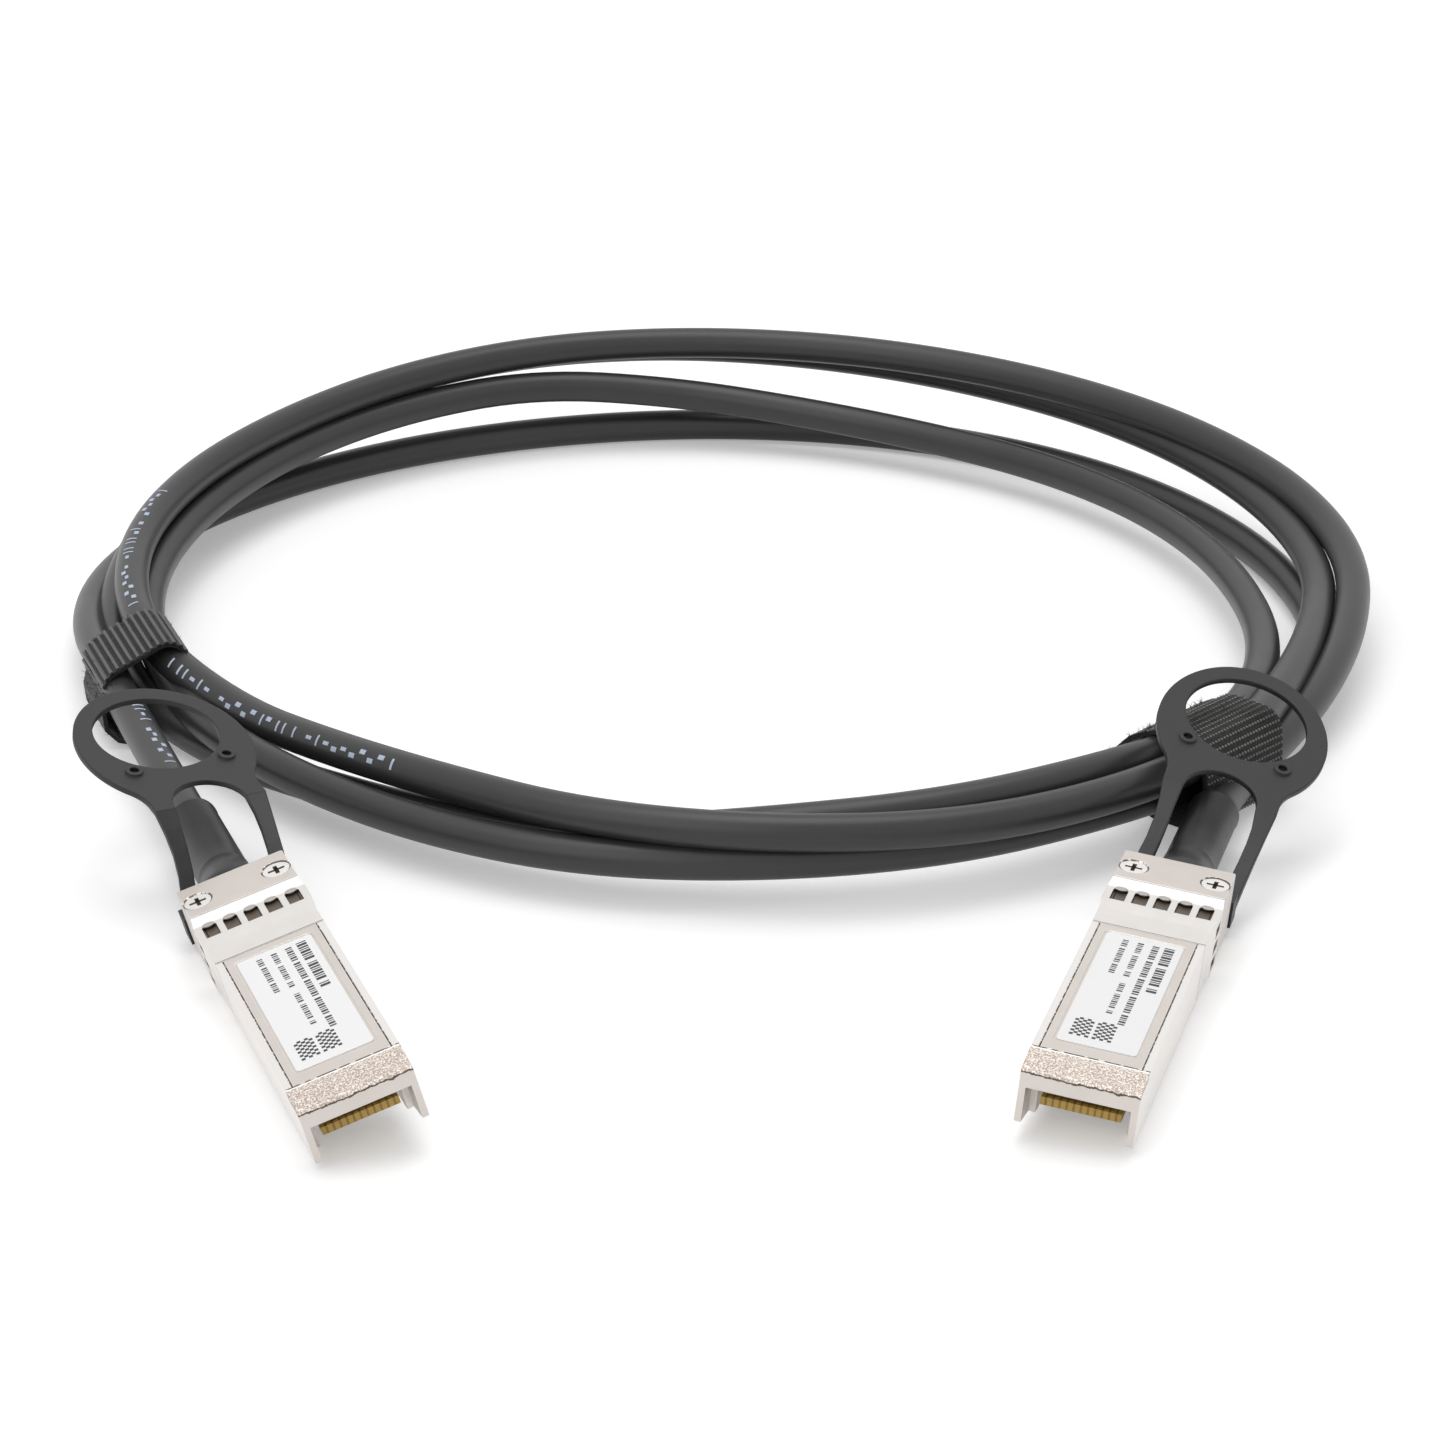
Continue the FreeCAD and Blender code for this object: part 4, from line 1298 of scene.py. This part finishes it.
    def fray(self, emitter: bpy.types.Object, cloth: bpy.types.Material,
             density: float) -> bpy.types.Object:
        """Scatters short loose fibres over a piece with a geometry node tree.

        Args:
            emitter: Mesh that the fibres stand on.
            cloth: Finish of the fibres.
            density: Fibres on a square metre.

        Returns:
            The fibres as a plain mesh.
        """
        root, tip, reach = self.fibre
        tree = GrownPiece(f"{self.name}_fray", {"Density": density, "Fibre length": reach * MM})
        graph, source = tree.graph, tree.source
        spots = graph.node("GeometryNodeDistributePointsOnFaces",
                           {"Mesh": source[0], "Density": source[1], "Seed": self.seed}).outputs[0]
        fibre = graph.node("GeometryNodeMeshCone", {"Vertices": 4, "Radius Top": tip * MM,
                                                    "Radius Bottom": root * MM,
                                                    "Depth": source[2]}).outputs[0]
        tilt = self.fibre_tilt
        angle = graph.node("FunctionNodeRandomValue",
                           {0: (-tilt, -tilt, 0.0), 1: (tilt, tilt, 6.28), "Seed": self.seed},
                           data_type="FLOAT_VECTOR").outputs[0]
        placed = graph.node("GeometryNodeInstanceOnPoints", {"Points": spots, "Instance": fibre,
                                                             "Rotation": angle}).outputs[0]
        holder = emitter.copy()
        holder.data = emitter.data.copy()
        bpy.context.scene.collection.objects.link(holder)
        return tree.grow(placed, cloth, holder, f"{self.name}_fray")

    def build(self, cloth: bpy.types.Material, thread: bpy.types.Material) -> bpy.types.Object:
        """Builds the tie and puts it in place of its solid.

        Args:
            cloth: Finish of the strap.
            thread: Finish of the raised threads on its outer face.

        Returns:
            The whole tie as one piece.
        """
        band = self.strap(cloth)
        tail = self.tail_strip(cloth)
        fray = self.fray(tail, cloth, self.tail_fray)
        edges = self.fray(band, cloth, self.band_fray)
        # Turned after the fibres are scattered, because the scatter follows the faces' order.
        for part in (band, tail):
            part.data.flip_normals()
        piece = join(self.name, [band, tail, self.weave_piece(thread), fray, edges])
        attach(piece, Body.CABLE.value)
        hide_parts(self.node)
        return piece


# ---- Modules -----------------------------------------------------------------------------
@dataclass
class Boot:
    """Moulded strain relief: a domed flange that runs into a sleeve with a rolled lip."""

    pose: ModulePose
    axis: float = CABLE_AXIS
    under: float = 1.55
    bore: float = 2.43
    sides: int = 72
    profile: list[Slot] = field(default_factory=lambda: [
        (0.05, 4.30), (0.5, 4.40), (1.6, 4.42), (2.6, 4.32), (3.6, 4.08), (4.8, 3.76), (6.2, 3.48),
        (7.4, 3.32), (7.9, 3.36), (8.4, 3.34), (8.9, 3.25), (12.0, 3.25), (24.9, 3.22), (25.3, 3.30),
        (25.8, 3.28), (26.0, 3.10)])

    def build(self, name: str, node: str, rubber: bpy.types.Material) -> bpy.types.Object:
        """Builds the boot and puts it in place of its solid.

        Args:
            name: Name of the piece.
            node: Name of the solid it replaces.
            rubber: Finish of the boot.

        Returns:
            The boot.
        """
        rings = [*self.profile, (self.profile[-1][0], self.bore), (self.profile[0][0], self.bore)]
        points: list[Vector] = []
        for y, radius in rings:
            for k in range(self.sides):
                turn = 2 * math.pi * k / self.sides
                height = max(self.axis + radius * math.cos(turn), self.under)
                points.append(self.pose.point(radius * math.sin(turn), y, height))
        faces: list[tuple[int, ...]] = []
        for ring in range(len(rings)):
            after = (ring + 1) % len(rings)
            for k in range(self.sides):
                n = (k + 1) % self.sides
                faces.append((ring * self.sides + n, after * self.sides + n,
                              after * self.sides + k, ring * self.sides + k))
        piece = mesh_object(name, points, faces, rubber, smooth=True)
        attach(piece, Body.CABLE.value)
        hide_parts(node)
        return piece


@dataclass
class CollarTabs:
    """Row of small rounded catches at the rear ends of a collar's windows."""

    pose: ModulePose
    count: int = 5
    pitch: float = 2.62
    radius: float = 0.75
    squash: float = 0.66
    thickness: float = 0.16
    place: Slot = (-9.95, 8.66)

    def build(self, name: str, plate: bpy.types.Material) -> bpy.types.Object:
        """Sets the row out with a geometry node tree.

        Args:
            name: Name of the piece.
            plate: Finish of the catches.

        Returns:
            The row as a plain mesh.
        """
        tree = GrownPiece(name, {"Radius": self.radius * MM, "Thickness": self.thickness * MM})
        graph, source = tree.graph, tree.source
        start = self.pose.point(-self.pitch * (self.count - 1) / 2, *self.place)
        row = graph.node("GeometryNodeMeshLine", {
            "Count": self.count, "Start Location": start,
            "Offset": self.pose.right * (self.pitch * MM)}).outputs[0]
        disc = graph.node("GeometryNodeMeshCylinder", {"Vertices": 24, "Radius": source[1],
                                                       "Depth": source[2]}).outputs[0]
        placed = graph.node("GeometryNodeInstanceOnPoints", {
            "Points": row, "Instance": disc, "Rotation": self.pose.turn().to_euler(),
            "Scale": (1.0, self.squash, 1.0)}).outputs[0]
        holder = bpy.data.objects.new(name, bpy.data.meshes.new(name))
        bpy.context.scene.collection.objects.link(holder)
        piece = tree.grow(placed, plate, holder, name)
        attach(piece, Body.CABLE.value)
        return piece


@dataclass
class LabelPrint:
    """Rows of plain strokes and two plain chequered fields on the label."""

    pose: ModulePose
    top: float = 8.478
    gap: float = 0.24
    stroke: Slot = (0.22, 0.16)
    rest: int = 9
    cell: float = 0.44
    rows: list[tuple[float, float, float, float, float]] = field(default_factory=lambda: [
        (3.1, 1.2, -22.2, -34.0, 0.95), (1.5, 0.8, -22.4, -43.0, 0.75), (-0.3, 0.7, -22.4, -31.0, 0.62),
        (-0.3, 0.7, -33.2, -41.0, 0.62), (-2.1, 0.7, -22.4, -31.2, 0.62)])
    blocks: list[tuple[float, float, int, int]] = field(default_factory=lambda: [
        (-3.5, -47.8, 5, 10), (-0.9, -47.8, 5, 10)])

    def bar(self, x0: float, x1: float, y0: float, y1: float, points: list[Vector],
            faces: list[tuple[int, ...]]) -> None:
        """Adds one flat bar.

        Args:
            x0: Left side in millimetres.
            x1: Right side in millimetres.
            y0: Front side in millimetres.
            y1: Rear side in millimetres.
            points: Vertices, added to.
            faces: Faces, added to.
        """
        first = len(points)
        corners = ((x0, y0), (x1, y0), (x1, y1), (x0, y1))
        points += [self.pose.point(x, y, self.top) for x, y in corners]
        faces.append((first, first + 1, first + 2, first + 3))

    def build(self, name: str, ink: bpy.types.Material) -> bpy.types.Object:
        """Builds the print as one piece.

        Args:
            name: Name of the piece.
            ink: Finish of the print.

        Returns:
            The print.
        """
        points: list[Vector] = []
        faces: list[tuple[int, ...]] = []
        for row, (x, height, start, end, pitch) in enumerate(self.rows):
            y, index = start, 0
            while y > end:
                stroke = pitch * (self.stroke[0] + self.stroke[1] * ((index * 5 + row) % 3))
                if (index + row) % self.rest != self.rest - 1:
                    self.bar(x - height / 2, x + height / 2, y - stroke, y, points, faces)
                y -= stroke + self.gap
                index += 1
        for left, front, wide, deep in self.blocks:
            for i in range(wide):
                for j in range(deep):
                    if (i + j) % 2 == 0:
                        x, y = left + i * self.cell, front + j * self.cell
                        self.bar(x, x + self.cell, y, y + self.cell, points, faces)
        piece = mesh_object(name, points, faces, ink)
        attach(piece, Body.CABLE.value)
        return piece


@dataclass
class Module:
    """One pluggable end: finishes of its solids, its boot, its catches and its label print."""

    end: End
    pose: ModulePose
    shared: dict[str, bpy.types.Material]

    def dress(self) -> list[bpy.types.Object]:
        """Gives every solid of this end its finish and adds its own pieces.

        Returns:
            The solids and the added pieces.
        """
        letter = self.end.value
        cast = CastNickel(self.pose).build(f"cast_nickel_{letter}")
        screw = ScrewPlate(self.pose).build(f"screw_plate_{letter}")
        collar = CollarSheet(self.pose).build(f"collar_sheet_{letter}")
        board = Laminate(self.pose).build(f"board_laminate_{letter}")
        finishes = {
            "housing_base": cast, "housing_cover": cast,
            "cover_screw_left": screw, "cover_screw_right": screw,
            "emi_collar": collar, "product_label": self.shared["film"],
            "circuit_board": board, "edge_contacts": self.shared["gold"],
            "board_components": self.shared["chip"], "twinax_pair_left": self.shared["foil"],
            "twinax_pair_right": self.shared["foil"], "crimp_ferrule": self.shared["brass"],
            "latch_slider": self.shared["sheet"],
            "return_springs": self.shared["sheet"], "pull_tab": self.shared["tab"],
        }
        pieces = []
        for stem, material in finishes.items():
            node = frame["nodes"][f"{stem}_{letter}"]
            node.data.materials.clear()
            node.data.materials.append(material)
            pieces.append(node)
        pieces.append(Boot(self.pose).build(f"boot_{letter}", f"cable_boot_{letter}", self.shared["boot"]))
        pieces.append(CollarTabs(self.pose).build(f"collar_tabs_{letter}", self.shared["plate"]))
        pieces.append(LabelPrint(self.pose).build(f"label_print_{letter}", self.shared["ink"]))
        return pieces


# ---- Studio ------------------------------------------------------------------------------
@dataclass
class Studio:
    """White table, soft lamps from above and in front, and a pale world."""

    centre: Vector = field(default_factory=lambda: Vector((0.0, 0.07, 0.0)))
    floor_half: float = 4.0
    glow: float = 0.30
    fill: float = 0.50
    lamp_size: float = 0.8
    lamps: list[tuple[str, Point, float]] = field(default_factory=lambda: [
        ("lamp_back", (0.1, 0.30, 1.25), 4.6), ("lamp_top", (-0.35, -0.1, 1.2), 2.6),
        ("lamp_front", (-0.5, -0.8, 0.7), 2.0)])

    def floor(self) -> bpy.types.Object:
        """Builds the floor, white to the camera and still shaded by the object.

        Returns:
            The floor.
        """
        material, graph, shader = new_material("table_white")
        coords = graph.node("ShaderNodeTexCoord").outputs["Object"]
        cloud = graph.noise(coords, 2.0, 2.0)
        graph.tree.links.new(graph.blend(cloud, (0.84, 0.84, 0.845), (0.86, 0.86, 0.865)),
                             shader.inputs["Base Color"])
        shader.inputs["Roughness"].default_value = 0.45
        shader.inputs["Specular IOR Level"].default_value = 0.3
        rays = graph.node("ShaderNodeLightPath").outputs
        seen = graph.math("MAXIMUM", rays["Is Camera Ray"], rays["Is Glossy Ray"])
        shader.inputs["Emission Color"].default_value = (1.0, 1.0, 1.0, 1.0)
        graph.tree.links.new(graph.math("MULTIPLY", seen, self.glow), shader.inputs["Emission Strength"])
        half = self.floor_half
        corners = [self.centre + Vector(c) for c in ((-half, -half, 0), (half, -half, 0), (half, half, 0),
                                                     (-half, half, 0))]
        piece = mesh_object("table", corners, [(0, 1, 2, 3)], material)
        return piece

    def lamp(self, name: str, place: Point, size: float, power: float) -> None:
        """Adds a square area lamp aimed at the middle of the object.

        Args:
            name: Name of the lamp.
            place: Its place in metres.
            size: Its side in metres.
            power: Its power in watts.
        """
        light = bpy.data.lights.new(name, "AREA")
        light.size = size
        light.energy = power
        holder = bpy.data.objects.new(name, light)
        holder.location = place
        holder.rotation_euler = (self.centre - Vector(place)).to_track_quat("-Z", "Y").to_euler()
        bpy.context.scene.collection.objects.link(holder)

    def world(self) -> None:
        """Makes the world white to the camera and a plain soft light to everything else."""
        world = bpy.data.worlds.new("studio_air")
        world.use_nodes = True
        bpy.context.scene.world = world
        graph = Graph(world.node_tree)
        rays = graph.node("ShaderNodeLightPath").outputs
        seen = graph.math("MAXIMUM", rays["Is Camera Ray"], graph.math("MAXIMUM", rays["Is Glossy Ray"],
                                                                       rays["Is Transmission Ray"]))
        strength = graph.math("ADD", graph.math("MULTIPLY", seen, 1.0 - self.fill), self.fill)
        background = world.node_tree.nodes["Background"]
        background.inputs["Color"].default_value = (1.0, 1.0, 1.0, 1.0)
        graph.tree.links.new(strength, background.inputs["Strength"])

    def build(self) -> None:
        """Builds floor, lamps and world."""
        self.floor()
        self.world()
        for name, place, power in self.lamps:
            self.lamp(name, place, self.lamp_size, power)


@dataclass
class CameraRig:
    """Camera at the viewing angle of the product view."""

    place: Point = (0.0017, -0.4564, 0.2254)
    tilt: float = 67.05
    lens: float = 106.08

    def build(self) -> bpy.types.Object:
        """Makes the camera and gives it to the scene.

        Returns:
            The camera.
        """
        data = bpy.data.cameras.new("product_view")
        data.lens = self.lens
        data.sensor_width = 36.0
        data.clip_start = 0.01
        camera = bpy.data.objects.new("product_view", data)
        turn = Matrix.Rotation(math.radians(self.tilt), 4, "X")
        camera.matrix_world = Matrix.Translation(self.place) @ turn
        bpy.context.scene.collection.objects.link(camera)
        bpy.context.scene.camera = camera
        return camera


def shared_finishes() -> dict[str, bpy.types.Material]:
    """Makes the finishes that both modules share.

    Returns:
        The finishes by a short name.
    """
    return {
        "sheet": BrightSheet().build("spring_sheet"),
        "plate": BrightSheet((0.50, 0.48, 0.46), (0.44, 0.42, 0.40), 0.34, 1400.0).build("catch_plate"),
        "film": Flat((0.93, 0.93, 0.93), (0.90, 0.90, 0.90), 0.42).build("label_film"),
        "ink": Flat((0.02, 0.02, 0.024), (0.035, 0.035, 0.04), 0.5).build("label_ink"),
        "gold": Flat((0.62, 0.42, 0.11), (0.52, 0.33, 0.07), 0.34, 0.5).build("contact_gold"),
        "chip": Flat((0.02, 0.02, 0.02), (0.035, 0.035, 0.035), 0.5).build("chip_plastic"),
        "foil": Flat((0.70, 0.70, 0.72), (0.55, 0.55, 0.57), 0.35, 0.9).build("foil_shield"),
        "brass": Flat((0.60, 0.48, 0.26), (0.48, 0.37, 0.18), 0.35, 0.9).build("crimp_brass"),
        "boot": Moulding((0.008, 0.008, 0.009), (0.014, 0.014, 0.015), 0.38, 2600.0,
                         specular=0.35).build("boot_rubber"),
        "tab": Moulding((0.014, 0.014, 0.015), (0.022, 0.022, 0.023), 0.45, 5200.0, 0.04,
                        0.35, 0.38).build("tab_plastic"),
    }


def build_cable(cable: Cable, line: list[Vector]) -> list[bpy.types.Object]:
    """Builds the jacket and its print.

    Args:
        cable: The cable.
        line: Points of its axis.

    Returns:
        The jacket and the print.
    """
    jacket = cable.tube(line, Jacket().build("cable_jacket"))
    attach(jacket, Body.CABLE.value)
    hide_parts("cable_coil", "cable_lead_a", "cable_lead_b")
    ink = Flat((0.55, 0.62, 0.75), (0.42, 0.48, 0.60), 0.6).build("print_pale")
    dashes = JacketPrint(cable).build(line, ink)
    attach(dashes, Body.CABLE.value)
    return [jacket, dashes]


def build_ties(cable: Cable) -> list[bpy.types.Object]:
    """Builds the two ties.

    Args:
        cable: The cable that they hold.

    Returns:
        The left and the right tie.
    """
    cloth = Textile((0.006, 0.006, 0.006), (0.016, 0.015, 0.015)).build("tie_cloth")
    ribs = Moulding((0.026, 0.025, 0.024), (0.044, 0.042, 0.040), 0.30, 2600.0, 0.01,
                    0.02).build("tie_ribs")
    # Bead colour raised to a mid grey on black hooks: a painted highlight for their sheen.
    highlit_beads = Moulding((0.120, 0.114, 0.105), (0.170, 0.162, 0.150), 0.28, 2600.0, 0.01,
                     0.02).build("tie_beads")
    left = Tie("strap_left", "tie_left", cable, cable.left_angle,
               slots=[stations[0][1:] for stations in cable.back_passes], weave=Weave.RIBS,
               tail=[(89.6, 6.8, 2.0), (90.3, 4.8, 2.8), (90.2, 2.7, 3.6), (88.8, 1.3, 4.4),
                     (86.4, 0.8, 5.0)])
    right = Tie("strap_right", "tie_right", cable, cable.right_angle - cable.tie_shift,
                slots=[(84.6, 3.4), (89.6, 3.4), (89.2, 9.6), (84.6, 9.7)], weave=Weave.LOOPS,
                tail=[(82.4, 11.8, -1.0), (80.7, 10.9, -1.6), (79.2, 9.2, -2.2), (78.0, 8.2, -2.6)],
                width=16.4, base=0.65)
    return [left.build(cloth, ribs), right.build(cloth, highlit_beads)]


def main() -> None:
    """Builds every piece in order and reports each."""
    logging.basicConfig(level=logging.INFO, format="%(message)s")
    bpy.context.scene.view_settings.view_transform = "Standard"
    CameraRig().build()
    Studio().build()
    left, right = ModulePose.of(End.LEFT), ModulePose.of(End.RIGHT)
    cable = Cable()
    line = cable.spline_points(cable.route(left, right))
    LOG.info("cable: %d points, %.3f m", len(line), cable.distances(line)[-1])
    jacket, dashes = build_cable(cable, line)
    pieces = [jacket, dashes, *build_ties(cable)]
    shared = shared_finishes()
    for end, pose in ((End.LEFT, left), (End.RIGHT, right)):
        pieces += Module(end, pose, shared).dress()
    for piece in pieces:
        report(piece)
    first = left.point(0, cable.exit_depth, cable.axis_height)


if __name__ == "__main__":
    main()
